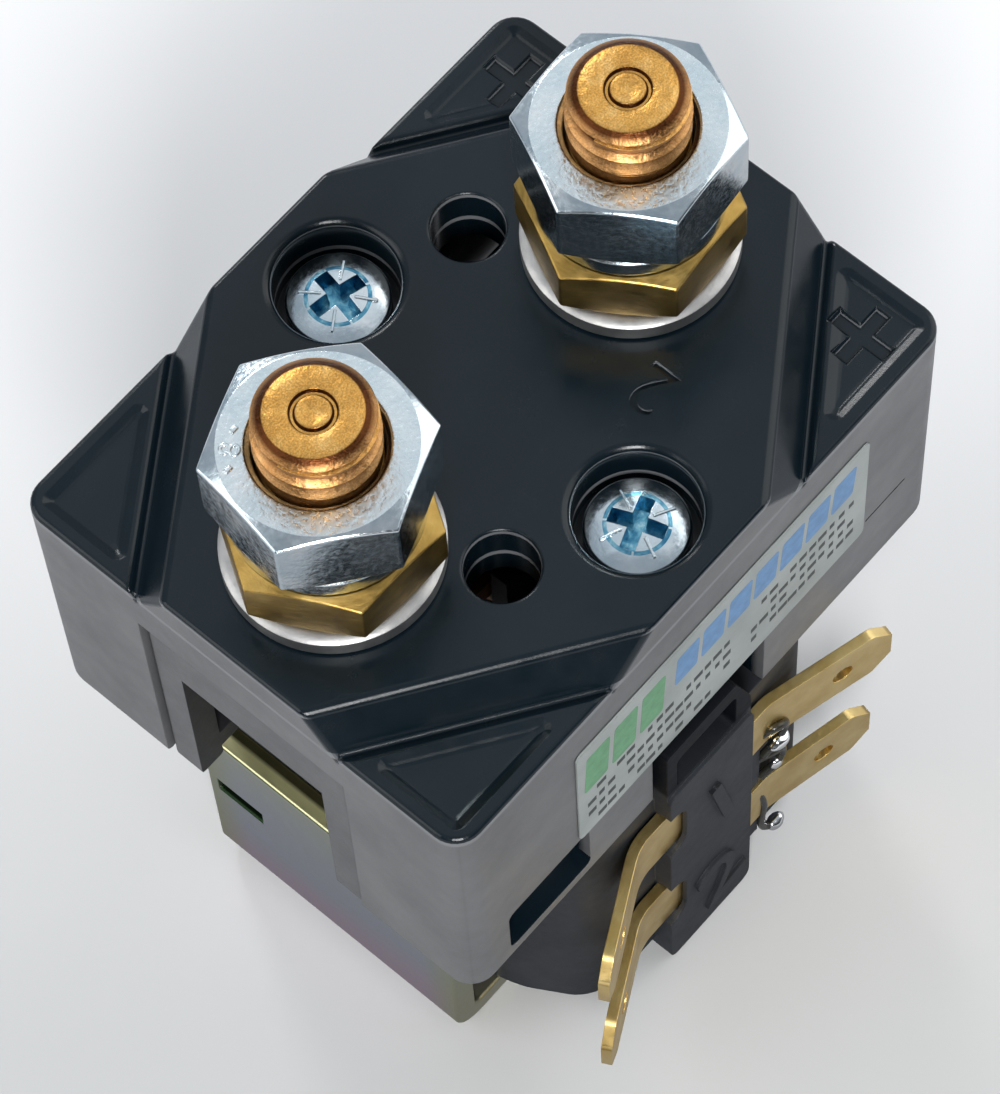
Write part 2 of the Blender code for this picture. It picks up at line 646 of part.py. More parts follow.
def fold_strip(bm, x, degrees, side, spacing):
    """Turn what lies beyond x towards -Y in three folds about upright lines."""
    step = math.radians(degrees) / 3
    for i in range(3):
        line = side * (x + (i - 1) * spacing)
        bmesh.ops.bisect_plane(
            bm,
            geom=bm.verts[:] + bm.edges[:] + bm.faces[:],
            plane_co=(line, 0, 0),
            plane_no=(1, 0, 0),
            dist=1e-7,
        )
    for v in bm.verts:
        v.tag = False
    for i in range(3):
        flat = x + (i - 1) * spacing
        beyond = [v for v in bm.verts if side * v.co.x > flat + 1e-6 or v.tag]
        pivot = fold_pivot(x, i, step, side, spacing)
        turn = Matrix.Rotation(-side * step, 4, "Z")
        bmesh.ops.rotate(bm, cent=pivot, matrix=turn, verts=beyond)
        for v in beyond:
            v.tag = True


def fold_pivot(x, index, step, side, spacing):
    """Where fold line number index has come to after the folds before it."""
    px = x - spacing
    py = 0.0
    for i in range(index):
        angle = step * (i + 1)
        px += spacing * math.cos(angle)
        py -= spacing * math.sin(angle)
    return (side * px, py, 0.0)


def build_terminal(name, level):
    """Strip through the terminal block with a splayed spade at each end."""
    z = SPADE_UPPER_Z - level * SPADE_PITCH_Z
    right_length = RIGHT_LENGTH[level]
    right_splay = RIGHT_SPLAY[level]
    bm = bmesh.new()
    half = SPADE_THICK / 2
    outline = spade_outline(LEFT_BEND_X + LEFT_LENGTH, RIGHT_BEND_X + right_length)
    face = bm.faces.new([bm.verts.new((x, -half, h)) for x, h in outline])
    back = bmesh.ops.extrude_face_region(bm, geom=[face])["geom"]
    bmesh.ops.translate(bm, vec=(0, SPADE_THICK, 0), verts=[v for v in back if isinstance(v, bmesh.types.BMVert)])
    fold_strip(bm, LEFT_BEND_X, LEFT_SPLAY, -1, LEFT_FOLD_STEP)
    fold_strip(bm, RIGHT_BEND_X, right_splay, 1, RIGHT_FOLD_STEP)
    strip = new_object(name, mesh_from(name, bm), GOLD_BRASS)
    strip.location = (0.0, -SPADE_PLANE_Y, z)
    ends = ((-1, LEFT_BEND_X, LEFT_LENGTH, LEFT_SPLAY), (1, RIGHT_BEND_X, right_length, right_splay))
    for side, bend, length, splay in ends:
        reach = length - SPADE_HOLE_FROM_TIP
        angle = math.radians(splay)
        at = Vector((side * (bend + reach * math.cos(angle)), -SPADE_PLANE_Y - reach * math.sin(angle), z))
        drill = rod(f"{name}_drill_{side + 1}", SPADE_HOLE_RADIUS, -2 * MM, 2 * MM, None, cutters, steps=16)
        drill.location = at
        drill.rotation_euler = (math.radians(90), 0.0, side * -angle)
        boolean(strip, drill)
    return strip


def build_magnet():
    """Fixed pole staked in the yoke plate, plunger below it and its spindle."""
    bore = SPINDLE_RADIUS + FIT
    section = [
        (bore, YOKE_TOP),
        (POLE_SPIGOT_RADIUS, YOKE_TOP),
        (POLE_SPIGOT_RADIUS, YOKE_FOOT - SEAT),
        (PLUNGER_RADIUS, YOKE_FOOT - SEAT),
        (PLUNGER_RADIUS, POLE_FOOT),
        (SPRING_POCKET_RADIUS, POLE_FOOT),
        (SPRING_POCKET_RADIUS, POLE_FOOT + SPRING_POCKET_DEPTH),
        (bore, POLE_FOOT + SPRING_POCKET_DEPTH),
    ]
    turned("fixed_pole", section, MAGNET_IRON, closed=True)
    socket = SPINDLE_FOOT - SEAT
    section = [
        (bore, PLUNGER_TOP),
        (PLUNGER_RADIUS - 0.4 * MM, PLUNGER_TOP),
        (PLUNGER_RADIUS, PLUNGER_TOP - 0.4 * MM),
        (PLUNGER_RADIUS, PLUNGER_FOOT),
        (0.0, PLUNGER_FOOT),
    ]
    plunger = turned("plunger", [(0.0, PLUNGER_TOP)] + section[1:], MAGNET_IRON)
    cut_hole(plunger, bore, socket, PLUNGER_TOP + GAP)
    section = [
        (0.0, SPINDLE_TOP),
        (SPINDLE_RADIUS - 0.3 * MM, SPINDLE_TOP),
        (SPINDLE_RADIUS, SPINDLE_TOP - 0.3 * MM),
        (SPINDLE_RADIUS, COLLAR_TOP),
        (COLLAR_RADIUS, COLLAR_TOP),
        (COLLAR_RADIUS, COLLAR_FOOT),
        (SPINDLE_RADIUS, COLLAR_FOOT),
        (SPINDLE_RADIUS, SPINDLE_FOOT),
        (0.0, SPINDLE_FOOT),
    ]
    turned("spindle", section, SPRING_STEEL, steps=SMALL_STEPS)


def spring(name, radius, wire, z0, z1, turns, mat):
    """Compression spring with its last half turn at each end laid flat."""
    count = int(turns * SPRING_POINTS_PER_TURN)
    low = z0 + wire / 2
    high = z1 - wire / 2
    curve = bpy.data.curves.new(name, "CURVE")
    curve.dimensions = "3D"
    curve.bevel_depth = wire / 2
    curve.bevel_resolution = 1
    curve.use_fill_caps = True
    line = curve.splines.new("POLY")
    line.points.add(count)
    dead = 0.75 / turns
    for i in range(count + 1):
        t = i / count
        angle = 2 * math.pi * turns * t
        lift = min(max((t - dead) / (1 - 2 * dead), 0.0), 1.0)
        settle = wire * 1.05 * min(t / dead, 1.0) + wire * 1.05 * max((t - 1 + dead) / dead, 0.0)
        climb = high - low - 2.1 * wire
        z = low + settle + climb * lift
        line.points[i].co = (radius * math.cos(angle), radius * math.sin(angle), z, 1.0)
    obj = bpy.data.objects.new(name, curve)
    parts.objects.link(obj)
    curve.materials.append(mat)
    return obj


def build_springs():
    """Return spring between pole and plunger, contact spring under the bridge."""
    spring(
        "return_spring",
        RETURN_COIL_RADIUS,
        RETURN_WIRE,
        PLUNGER_TOP + SEAT,
        POLE_FOOT + SPRING_POCKET_DEPTH - SEAT,
        RETURN_TURNS,
        SPRING_STEEL,
    )
    spring(
        "contact_spring",
        CONTACT_COIL_RADIUS,
        CONTACT_WIRE,
        COLLAR_TOP + SEAT,
        BUSH_FOOT - SEAT,
        CONTACT_TURNS,
        SPRING_STEEL,
    )


def build_tray():
    """Contact housing: floor on the yoke plate, end ears and bridge guides."""
    tray = box(
        "contact_housing",
        (-TRAY_HALF_X, -TRAY_HALF_Y, TRAY_FOOT),
        (TRAY_HALF_X, TRAY_HALF_Y, TRAY_TOP),
        INNER_MOULDING,
        bevel=1.2 * MM,
        vertical_only=True,
    )
    for side in (-1, 1):
        x0, x1 = sorted((side * EAR_INNER_X, side * EAR_OUTER_X))
        join_box(
            tray,
            (x0, -EAR_OUTER_HALF_Y, EAR_FOOT),
            (x1, EAR_OUTER_HALF_Y, WINDOW_TOP - GAP),
            bevel=0.3 * MM,
        )
        edge = side * (EAR_OUTER_X + GAP)
        back = side * (EAR_OUTER_X - EAR_ARCH_DEPTH)
        x0, x1 = sorted((edge, back))
        cut_box(tray, (x0, -EAR_INNER_HALF_Y, EAR_FOOT - GAP), (x1, EAR_INNER_HALF_Y, EAR_ARCH_Z))
        y0, y1 = sorted((side * (BRIDGE_HALF_Y + GAP), side * (BRIDGE_HALF_Y + GAP + GUIDE_WALL)))
        join_box(
            tray,
            (-GUIDE_HALF_X, y0, TRAY_TOP - TRAY_FLOOR / 2),
            (GUIDE_HALF_X, y1, TRAY_TOP + GUIDE_HEIGHT),
        )
        cut_hole(tray, SCREW_RADIUS + GAP, TRAY_FOOT - GAP, TRAY_TOP + GAP, at=(0.0, side * SCREW_Y))
    cut_hole(tray, SPINDLE_RADIUS + GAP, TRAY_FOOT - GAP, TRAY_TOP + GAP)
    return tray


def build_moving_contact():
    """Copper bridge, its silver tips, the insulating bush and the clip."""
    bridge = box(
        "moving_contact",
        (-BRIDGE_HALF_X, -BRIDGE_HALF_Y, BRIDGE_FOOT),
        (BRIDGE_HALF_X, BRIDGE_HALF_Y, BRIDGE_TOP),
        STUD_COPPER,
        bevel=1.4 * MM,
        vertical_only=True,
    )
    cut_hole(bridge, BUSH_RADIUS + FIT, BRIDGE_FOOT - GAP, BRIDGE_TOP + GAP)
    for index, side in ((1, -1), (2, 1)):
        foot = BRIDGE_TOP + SKIN
        rod(
            f"moving_tip_{index}",
            MOVING_TIP_RADIUS,
            foot,
            foot + MOVING_TIP_THICK,
            SILVER,
            at=(side * STUD_X, 0.0),
            chamfer=0.25 * MM,
        )
    inner = SPINDLE_RADIUS + FIT
    section = [
        (inner, BUSH_TOP),
        (BUSH_RADIUS, BUSH_TOP),
        (BUSH_RADIUS, BUSH_FOOT + BUSH_FLANGE),
        (BUSH_FLANGE_RADIUS, BUSH_FOOT + BUSH_FLANGE),
        (BUSH_FLANGE_RADIUS, BUSH_FOOT),
        (inner, BUSH_FOOT),
    ]
    turned("contact_bush", section, BOBBIN_NYLON, closed=True, steps=SMALL_STEPS)
    ring(
        "spindle_clip",
        SPINDLE_RADIUS + FIT,
        CLIP_RADIUS,
        CLIP_FOOT,
        CLIP_FOOT + CLIP_THICK,
        SPRING_STEEL,
        steps=SMALL_STEPS,
    )


def corner_cutter(name, sign_x, sign_y):
    """Solid above one lowered corner: pad level, groove and slope."""
    run = Vector((COVER_HALF_X - PLATEAU_SIDE_HALF_X, -(COVER_HALF_Y - PLATEAU_END_HALF_Y), 0.0)).normalized()
    out = Vector((-run.y, run.x, 0.0))
    start = Vector((COVER_HALF_X, PLATEAU_END_HALF_Y, 0.0))
    reach = 60 * MM
    above = COVER_TOP + 2 * MM
    section = [
        (0.0, COVER_TOP),
        (SLOPE_RUN, COVER_TOP - SLOPE_DROP),
        (SLOPE_RUN + PAD_LEDGE, PAD_LEVEL),
        (reach / 2, PAD_LEVEL),
        (reach / 2, above),
        (-SLOPE_RUN * 2 * MM / SLOPE_DROP, above),
    ]
    bm = bmesh.new()
    verts = []
    for d, z in section:
        p = start + out * d - run * reach
        verts.append(bm.verts.new((p.x, p.y, z)))
    face = bm.faces.new(verts)
    far = bmesh.ops.extrude_face_region(bm, geom=[face])["geom"]
    moved = [v for v in far if isinstance(v, bmesh.types.BMVert)]
    bmesh.ops.translate(bm, vec=run * 2 * reach, verts=moved)
    bmesh.ops.scale(bm, vec=(sign_x, sign_y, 1.0), verts=bm.verts)
    return new_object(name, mesh_from(name, bm), None, cutters)


def pad_outline(sign_x, sign_y):
    """Triangle of the sunk panel on one corner pad."""
    run = Vector((COVER_HALF_X - PLATEAU_SIDE_HALF_X, -(COVER_HALF_Y - PLATEAU_END_HALF_Y), 0.0)).normalized()
    out = Vector((-run.y, run.x, 0.0))
    limit = out.x * COVER_HALF_X + out.y * PLATEAU_END_HALF_Y + SLOPE_RUN + PAD_LEDGE + PAD_SLOPE_RIM
    x1 = COVER_HALF_X - COVER_EDGE - PAD_OUTER_RIM
    y1 = COVER_HALF_Y - COVER_EDGE - PAD_OUTER_RIM
    y_at_x1 = (limit - out.x * x1) / out.y
    x_at_y1 = (limit - out.y * y1) / out.x
    corners = [(x1, y_at_x1), (x1, y1), (x_at_y1, y1)]
    return [(sign_x * x, sign_y * y) for x, y in corners]


def build_cover():
    """Cover moulding: stepped top, open end windows and terminal notch."""
    cover = prism(
        "cover",
        rectangle(COVER_HALF_X, COVER_HALF_Y),
        COVER_FOOT,
        COVER_TOP,
        BLACK_MOULDING,
        fillet=COVER_CORNER,
    )
    corners = [(1, 1), (-1, 1), (-1, -1), (1, -1)]
    for sign_x, sign_y in corners:
        boolean(cover, corner_cutter(f"corner_{sign_x + 1}{sign_y + 1}", sign_x, sign_y))
    soft_edges(cover, COVER_EDGE)
    for sign_x, sign_y in corners:
        panel = prism(
            f"panel_{sign_x + 1}{sign_y + 1}",
            pad_outline(sign_x, sign_y),
            PAD_LEVEL - PAD_PANEL_SINK,
            COVER_TOP,
            None,
            cutters,
            fillet=0.5 * MM,
            segments=2,
        )
        boolean(cover, panel)
    cavity = prism(
        "cavity",
        rectangle(INNER_HALF_X, INNER_HALF_Y),
        COVER_FOOT - 2 * MM,
        ROOF_INSIDE,
        None,
        cutters,
        fillet=1.2 * MM,
    )
    boolean(cover, cavity)
    for side in (-1, 1):
        x0, x1 = sorted((side * (INNER_HALF_X - MM), side * (COVER_HALF_X + MM)))
        cut_box(cover, (x0, -WINDOW_HALF_Y, COVER_FOOT - MM), (x1, WINDOW_HALF_Y, WINDOW_TOP))
    outside = -COVER_HALF_Y - MM
    inside = -INNER_HALF_Y + MM
    cut_box(cover, (-NOTCH_HALF_X, outside, COVER_FOOT - MM), (NOTCH_HALF_X, inside, NOTCH_TOP))
    cut_box(
        cover,
        (-SIDE_SLOT_FAR_X, outside, SIDE_SLOT_LOW),
        (-SIDE_SLOT_NEAR_X, inside, SIDE_SLOT_HIGH),
    )
    for sign_y in (-1, 1):
        cut_plus(cover, PLUS_X, sign_y * PLUS_Y)
    for side in (-1, 1):
        column = rod(
            f"screw_column_{side + 1}",
            BOSS_RADIUS,
            TRAY_TOP + GAP,
            ROOF_INSIDE + COVER_ROOF / 2,
            None,
            cutters,
            at=(0.0, side * SCREW_Y),
            steps=32,
        )
        boolean(cover, column, "UNION")
    above = COVER_TOP + MM
    for side in (-1, 1):
        cut_hole(cover, VENT_RADIUS, ROOF_INSIDE - MM, above, at=(side * VENT_X, side * VENT_Y))
        stud_at = (side * STUD_X, 0.0)
        cut_hole(cover, STUD_RADIUS + HOLE_CLEARANCE, ROOF_INSIDE - MM, above, at=stud_at, steps=32)
    for side in (-1, 1):
        profile = [
            (0.0, above),
            (COUNTERBORE_RADIUS, above),
            (COUNTERBORE_RADIUS, SCREW_SEAT),
            (SCREW_RADIUS + GAP, SCREW_SEAT),
            (SCREW_RADIUS + GAP, COVER_FOOT),
            (0.0, COVER_FOOT),
        ]
        seat = turned(f"screw_seat_{side + 1}", profile, None, cutters, at=(0.0, side * SCREW_Y), steps=32)
        boolean(cover, seat, solver="MANIFOLD")
    return cover


def cut_plus(cover, x, y):
    """Shallow engraved plus on a corner pad."""
    half = PLUS_LINE / 2
    quarter = [(PLUS_ARM, -half), (PLUS_ARM, half), (half, half)]
    outline = []
    for _ in range(4):
        outline += [(x + px, y + py) for px, py in quarter]
        quarter = [(-py, px) for px, py in quarter]
    low = PAD_LEVEL - PAD_PANEL_SINK - MARK_DEPTH
    name = f"cover_plus_{len(cover.modifiers)}"
    boolean(cover, prism(name, outline, low, COVER_TOP, None, cutters))


def dome(radius, height, top, count=5):
    """Turning points of a round crown, from its middle to its rim."""
    sphere = (radius**2 + height**2) / (2 * height)
    points = []
    for i in range(count + 1):
        r = radius * math.sin(math.pi / 2 * i / count)
        points.append((r, top - sphere + math.sqrt(sphere**2 - r**2)))
    return points


def build_screws():
    """Pan-head screws with a cross recess, one in each counterbore."""
    for index, side in ((1, -1), (2, 1)):
        seat = SCREW_SEAT + SEAT
        top = seat + SCREW_HEAD_HEIGHT
        profile = dome(SCREW_HEAD_RADIUS, SCREW_DOME, top)
        profile += [
            (SCREW_HEAD_RADIUS, seat),
            (SCREW_RADIUS, seat),
            (SCREW_RADIUS, SCREW_TIP),
            (0.0, SCREW_TIP),
        ]
        screw = turned(f"cover_screw_{index}", profile, ZINC, at=(0.0, side * SCREW_Y), steps=32)
        half = RECESS_WIDTH / 2
        y = side * SCREW_Y
        low = top - RECESS_DEPTH
        high = top + MM
        cross = box(
            f"recess_{index}_a",
            (-RECESS_ARM, y - half, low),
            (RECESS_ARM, y + half, high),
            None,
            cutters,
        )
        boolean(screw, cross)
        cross = box(
            f"recess_{index}_b",
            (-half, y - RECESS_ARM, low),
            (half, y + RECESS_ARM, high),
            None,
            cutters,
        )
        boolean(screw, cross)


def nut(name, foot, height, at, turn, mat):
    """Hexagon nut: hexagon met by a turned body that chamfers its corners."""
    corner_radius = NUT_ACROSS_FLATS / math.sqrt(3)
    bm = bmesh.new()
    bmesh.ops.create_cone(
        bm,
        cap_ends=True,
        cap_tris=False,
        segments=6,
        radius1=corner_radius,
        radius2=corner_radius,
        depth=height,
    )
    bmesh.ops.rotate(bm, cent=(0, 0, 0), matrix=Matrix.Rotation(math.radians(turn), 4, "Z"), verts=bm.verts)
    bmesh.ops.translate(bm, vec=(at[0], at[1], foot + height / 2), verts=bm.verts)
    piece = new_object(name, mesh_from(name, bm), mat)
    rise = (corner_radius + 0.5 * MM - NUT_CHAMFER_RADIUS) * math.tan(math.radians(30))
    wide = corner_radius + 0.5 * MM
    top = foot + height
    over = 0.02 * MM
    lens = turned(
        f"{name}_chamfer",
        [
            (0.0, top + over),
            (NUT_CHAMFER_RADIUS, top + over),
            (wide, top - rise),
            (wide, foot + rise),
            (NUT_CHAMFER_RADIUS, foot - over),
            (0.0, foot - over),
        ],
        None,
        cutters,
        at,
        steps=36,
    )
    boolean(piece, lens, "INTERSECT")
    flare = 0.5 * MM
    inner = STUD_RADIUS + FIT
    bore = turned(
        f"{name}_bore",
        [
            (0.0, top + MM),
            (inner + flare + MM, top + MM),
            (inner, top - flare),
            (inner, foot + flare),
            (inner + flare + MM, foot - MM),
            (0.0, foot - MM),
        ],
        None,
        cutters,
        at,
        steps=24,
    )
    boolean(piece, bore)
    return piece


def stud_profile():
    """Shank of a stud from its dimpled top down into its head."""
    top = STUD_TOP
    dip = STUD_RING_DEPTH
    middle = (STUD_RING_OUTER + STUD_RING_INNER) / 2
    return [
        (0.0, top),
        (STUD_RING_INNER, top),
        (middle, top - dip),
        (STUD_RING_OUTER, top),
        (STUD_RADIUS - STUD_CHAMFER, top),
        (STUD_RADIUS, top - STUD_CHAMFER),
        (STUD_RADIUS, STUD_HEAD_FOOT + STUD_HEAD_HEIGHT / 2),
        (0.0, STUD_HEAD_FOOT + STUD_HEAD_HEIGHT / 2),
    ]


def build_stud(index, side):
    """One stud with its head, tip, washer, two nuts and spring washer."""
    at = (side * STUD_X, 0.0)
    x0 = at[0] - STUD_HEAD_HALF_X
    x1 = at[0] + STUD_HEAD_HALF_X
    head = box(
        f"stud_head_block_{index}",
        (x0, -STUD_HEAD_HALF_Y, STUD_HEAD_FOOT),
        (x1, STUD_HEAD_HALF_Y, STUD_HEAD_TOP),
        None,
        cutters,
        bevel=1.2 * MM,
        vertical_only=True,
    )
    stud = turned(f"main_stud_{index}", stud_profile(), STUD_COPPER, at=at)
    boolean(stud, head, "UNION")
    rod(
        f"fixed_tip_{index}",
        MOVING_TIP_RADIUS,
        FIXED_TIP_FOOT,
        FIXED_TIP_FOOT + FIXED_TIP_THICK,
        SILVER,
        at=at,
        chamfer=0.25 * MM,
    )
    ring(
        f"plain_washer_{index}",
        STUD_RADIUS + HOLE_CLEARANCE,
        WASHER_RADIUS,
        WASHER_FOOT,
        WASHER_FOOT + WASHER_THICK,
        WASHER_STEEL,
        at=at,
        steps=36,
        edge=0.15 * MM,
    )
    nut(f"brass_nut_{index}", BRASS_NUT_FOOT, BRASS_NUT_HEIGHT, at, BRASS_NUT_TURN[index - 1], BRASS)
    washer = ring(
        f"spring_washer_{index}",
        STUD_RADIUS + HOLE_CLEARANCE,
        LOCK_WASHER_RADIUS,
        LOCK_WASHER_FOOT,
        LOCK_WASHER_FOOT + LOCK_WASHER_THICK,
        ZINC,
        at=at,
        edge=0.15 * MM,
    )
    split = box(
        f"split_{index}",
        (at[0] - LOCK_WASHER_SPLIT / 2, 0.0, LOCK_WASHER_FOOT - MM),
        (at[0] + LOCK_WASHER_SPLIT / 2, 2 * LOCK_WASHER_RADIUS, LOCK_WASHER_FOOT + LOCK_WASHER_THICK + MM),
        None,
        cutters,
    )
    boolean(washer, split)
    nut(f"steel_nut_{index}", STEEL_NUT_FOOT, STEEL_NUT_HEIGHT, at, STEEL_NUT_TURN[index - 1], ZINC)


def build_label():
    """Thin foil label on the -Y wall."""
    back = -COVER_HALF_Y - SKIN
    box("label", (LABEL_X0, back - LABEL_THICK, LABEL_Z0), (LABEL_X1, back, LABEL_Z1), LABEL_FOIL)


def shade(obj, degrees=32.0):
    """Smooth shading with sharp edges kept."""
    if obj.type != "MESH":
        return
    obj.data.shade_smooth()
    obj.data.set_sharp_from_angle(angle=math.radians(degrees))


build_frame()
build_yoke()
build_coil()
build_magnet()
build_springs()
build_tray()
build_moving_contact()
build_cover()
build_screws()
build_label()
for number, stud_side in ((1, -1), (2, 1)):
    build_stud(number, stud_side)
build_terminal("coil_terminal_upper", 0)
build_terminal("coil_terminal_lower", 1)
for part in parts.objects:
    shade(part)
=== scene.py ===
# Dresses the contactor: fine meshes for what shows, procedural finishes for all of it,
# a soft-lit pale table and the camera.

import json
import math

import bmesh
import bpy
from mathutils import Matrix, Quaternion, Vector

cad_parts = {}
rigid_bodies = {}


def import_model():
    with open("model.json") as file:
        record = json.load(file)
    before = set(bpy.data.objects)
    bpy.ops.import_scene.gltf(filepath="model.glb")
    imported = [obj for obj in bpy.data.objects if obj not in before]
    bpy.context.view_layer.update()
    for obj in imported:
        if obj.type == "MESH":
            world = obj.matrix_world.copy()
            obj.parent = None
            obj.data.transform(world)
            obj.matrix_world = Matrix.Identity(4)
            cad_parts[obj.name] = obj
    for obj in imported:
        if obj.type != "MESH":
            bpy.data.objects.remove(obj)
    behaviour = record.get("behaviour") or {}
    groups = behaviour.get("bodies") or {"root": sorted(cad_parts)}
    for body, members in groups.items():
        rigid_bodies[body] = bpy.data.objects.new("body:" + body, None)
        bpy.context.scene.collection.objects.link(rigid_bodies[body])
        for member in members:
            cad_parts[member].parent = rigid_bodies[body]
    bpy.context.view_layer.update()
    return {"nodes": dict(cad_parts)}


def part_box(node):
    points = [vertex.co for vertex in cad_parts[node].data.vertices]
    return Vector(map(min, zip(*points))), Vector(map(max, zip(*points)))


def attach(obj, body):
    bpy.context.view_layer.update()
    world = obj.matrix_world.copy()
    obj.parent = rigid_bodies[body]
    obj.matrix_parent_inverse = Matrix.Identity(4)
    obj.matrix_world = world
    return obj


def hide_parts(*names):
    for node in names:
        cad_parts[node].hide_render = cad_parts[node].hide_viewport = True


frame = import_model()

MM = 0.001
NODES = frame["nodes"]


def centre_of(node):
    """Middle of a CAD node's box."""
    low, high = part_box(node)
    return (Vector(low) + Vector(high)) / 2


# Places that come from the CAD nodes
COVER_LOW, COVER_HIGH = (Vector(p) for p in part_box("cover"))
FRAME_HIGH = Vector(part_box("steel_frame")[1])
COIL_HIGH = Vector(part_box("coil_body")[1])
STUD_X = centre_of("main_stud_2").x
SCREW_Y = centre_of("cover_screw_2").y

# Cover moulding
COVER_TOP = COVER_HIGH.z
COVER_FOOT = COVER_LOW.z
COVER_HALF_X = COVER_HIGH.x
COVER_HALF_Y = COVER_HIGH.y
COVER_WALL = 2.0 * MM
COVER_ROOF = 5.4 * MM
ROOF_INSIDE = COVER_TOP - COVER_ROOF
COVER_CORNER = 2.0 * MM
COVER_EDGE = 1.0 * MM
PLATEAU_END_HALF_Y = 5.797 * MM
PLATEAU_SIDE_HALF_X = 5.398 * MM
SLOPE_RUN = 2.2 * MM
SLOPE_DROP = 3.2 * MM
PAD_RISE = 0.7 * MM
PAD_LEDGE = 0.4 * MM
PAD_LEVEL = COVER_TOP - SLOPE_DROP + PAD_RISE
PANEL_SINK = 0.36 * MM
PANEL_OUTER_RIM = 0.95 * MM
PANEL_SLOPE_RIM = 0.45 * MM
PANEL_DRAFT = 0.85 * MM
WINDOW_HALF_Y = 8.8 * MM
WINDOW_TOP = 51.5 * MM
NOTCH_HALF_X = 5.8 * MM
NOTCH_TOP = 37.5 * MM
SIDE_SLOT = (-20.3 * MM, -12.2 * MM, 32.0 * MM, 37.5 * MM)
SEAM_X = (16.4 * MM, 20.6 * MM)
SEAM_Z = (38.5 * MM, 38.7 * MM)
SEAM_DEPTH = 0.12 * MM
VENT_AT = (8.435 * MM, 8.77 * MM)
VENT_RADIUS = 2.47 * MM
STUD_HOLE = 4.2 * MM
COUNTERBORE_RADIUS = 4.2 * MM
COUNTERBORE_DEPTH = 4.3 * MM
COLUMN_RADIUS = 3.6 * MM
SCREW_HOLE = 2.05 * MM
COLUMN_FOOT = 33.4 * MM
PLUS_AT = (19.9 * MM, 14.8 * MM)
PLUS_ARM = 2.15 * MM
PLUS_WIDTH = 1.0 * MM
MARK_DEPTH = 0.42 * MM
DIGIT_AT = (7.3 * MM, -7.9 * MM)
DIGIT_SIZE = 5.3 * MM

# Steel frame and yoke
FRAME_HALF_X = FRAME_HIGH.x
FRAME_HALF_Y = FRAME_HIGH.y
FRAME_SHEET = 2.0 * MM
FRAME_BEND = 2.6 * MM
LEG_SLOT_Y = 8.6 * MM
LEG_SLOT_Z = 12.8 * MM
LEG_SLOT_HALF = 0.85 * MM
LEG_SLOT_REACH = 2.1 * MM
FIXING_HOLE_RADIUS = 2.1 * MM
FIXING_HOLE_INSET = 7.8 * MM
YOKE_SHEET = 1.8 * MM
YOKE_BEND = 2.0 * MM
YOKE_BORE_Z = (28 * MM, 32 * MM)
POLE_HOLE_RADIUS = 4.3 * MM
YOKE_SCREW_RADIUS = 1.85 * MM

# Coil body
COIL_HALF_X = 14.9 * MM
COIL_HALF_Y = 18.1 * MM
COIL_FLAT_HALF_X = 11.4 * MM
COIL_CORNER_Y = 12.0 * MM
COIL_FILLET = 2.2 * MM
COIL_FOOT = 2.3 * MM
COIL_TOP = 28.7 * MM
COIL_BORE = 13.8 * MM
BLOCK_LEFT_X = 5.0 * MM
BLOCK_RIGHT_X = 3.8 * MM
BLOCK_FRONT_Y = 19.6 * MM
BLOCK_FOOT = 0.2 * MM
BLOCK_TOP = 30.2 * MM
HEEL_FRONT_Y = 19.3 * MM
HEEL_TOP = COIL_HIGH.z
RIB_X = 5.5 * MM

# Coil terminals
SPADE_WIDTH = 5.9 * MM
SPADE_THICK = 0.8 * MM
SPADE_LEVELS = tuple(centre_of(name).z for name in ("coil_terminal_upper", "coil_terminal_lower"))
SPADE_PLANE_Y = COVER_HALF_Y
TIP_TAPER = 1.6 * MM
TIP_SLOPE = 0.95
LEFT_BEND_X = 7.8 * MM
LEFT_REACH = 9.75 * MM
LEFT_SPLAY = 28.0
LEFT_FOLD = 1.2 * MM
RIGHT_BEND_X = 6.2 * MM
RIGHT_SPADE = ((10.55 * MM, 15.0), (9.45 * MM, 13.0))
RIGHT_FOLD = 0.5 * MM
SOLDER_BLOBS = (
    (6.9 * MM, -19.45 * MM, 19.4 * MM, 0.95 * MM, 0.62 * MM),
    (6.9 * MM, -19.3 * MM, 15.2 * MM, 0.6 * MM, 0.6 * MM),
    (7.1 * MM, -19.3 * MM, 3.6 * MM, 0.8 * MM, 0.62 * MM),
)
LEADS = (
    ((5.6, -18.7, 21.2), (6.6, -19.5, 22.3), (7.6, -19.4, 21.0), (6.9, -19.3, 19.4), (5.7, -19.0, 18.0)),
    ((5.5, -18.7, 17.2), (6.4, -19.2, 17.6), (7.5, -19.3, 16.6), (6.9, -19.3, 15.2), (5.6, -18.9, 14.2)),
    ((5.3, -18.6, 12.0), (5.9, -19.0, 9.0), (5.8, -19.0, 5.6), (6.3, -19.1, 3.9), (7.1, -19.3, 3.6)),
)

# Studs, nuts, washers and screws
STUD_RADIUS = 4.0 * MM
THREAD_PITCH = 1.25 * MM
STUD_HEAD_TOP = ROOF_INSIDE - 0.2 * MM
NUT_ACROSS_FLATS = 13.0 * MM
NUT_CHAMFER_RADIUS = 6.2 * MM
NUT_CHAMFER_SLOPE = 23
NUT_BORE_FLARE = 0.42 * MM
BRASS_NUT_TURN = (28.1, 33.6)
STEEL_NUT_TURN = (-8.4, 34.0)
NUT_MARK_AT = (-18.1 * MM, 3.7 * MM)
SPLIT_AT = (90.0, 90.0)
SCREW_HEAD_RADIUS = 3.5 * MM
SCREW_DOME = 0.6 * MM
SCREW_TURN = (20.0, -12.0)

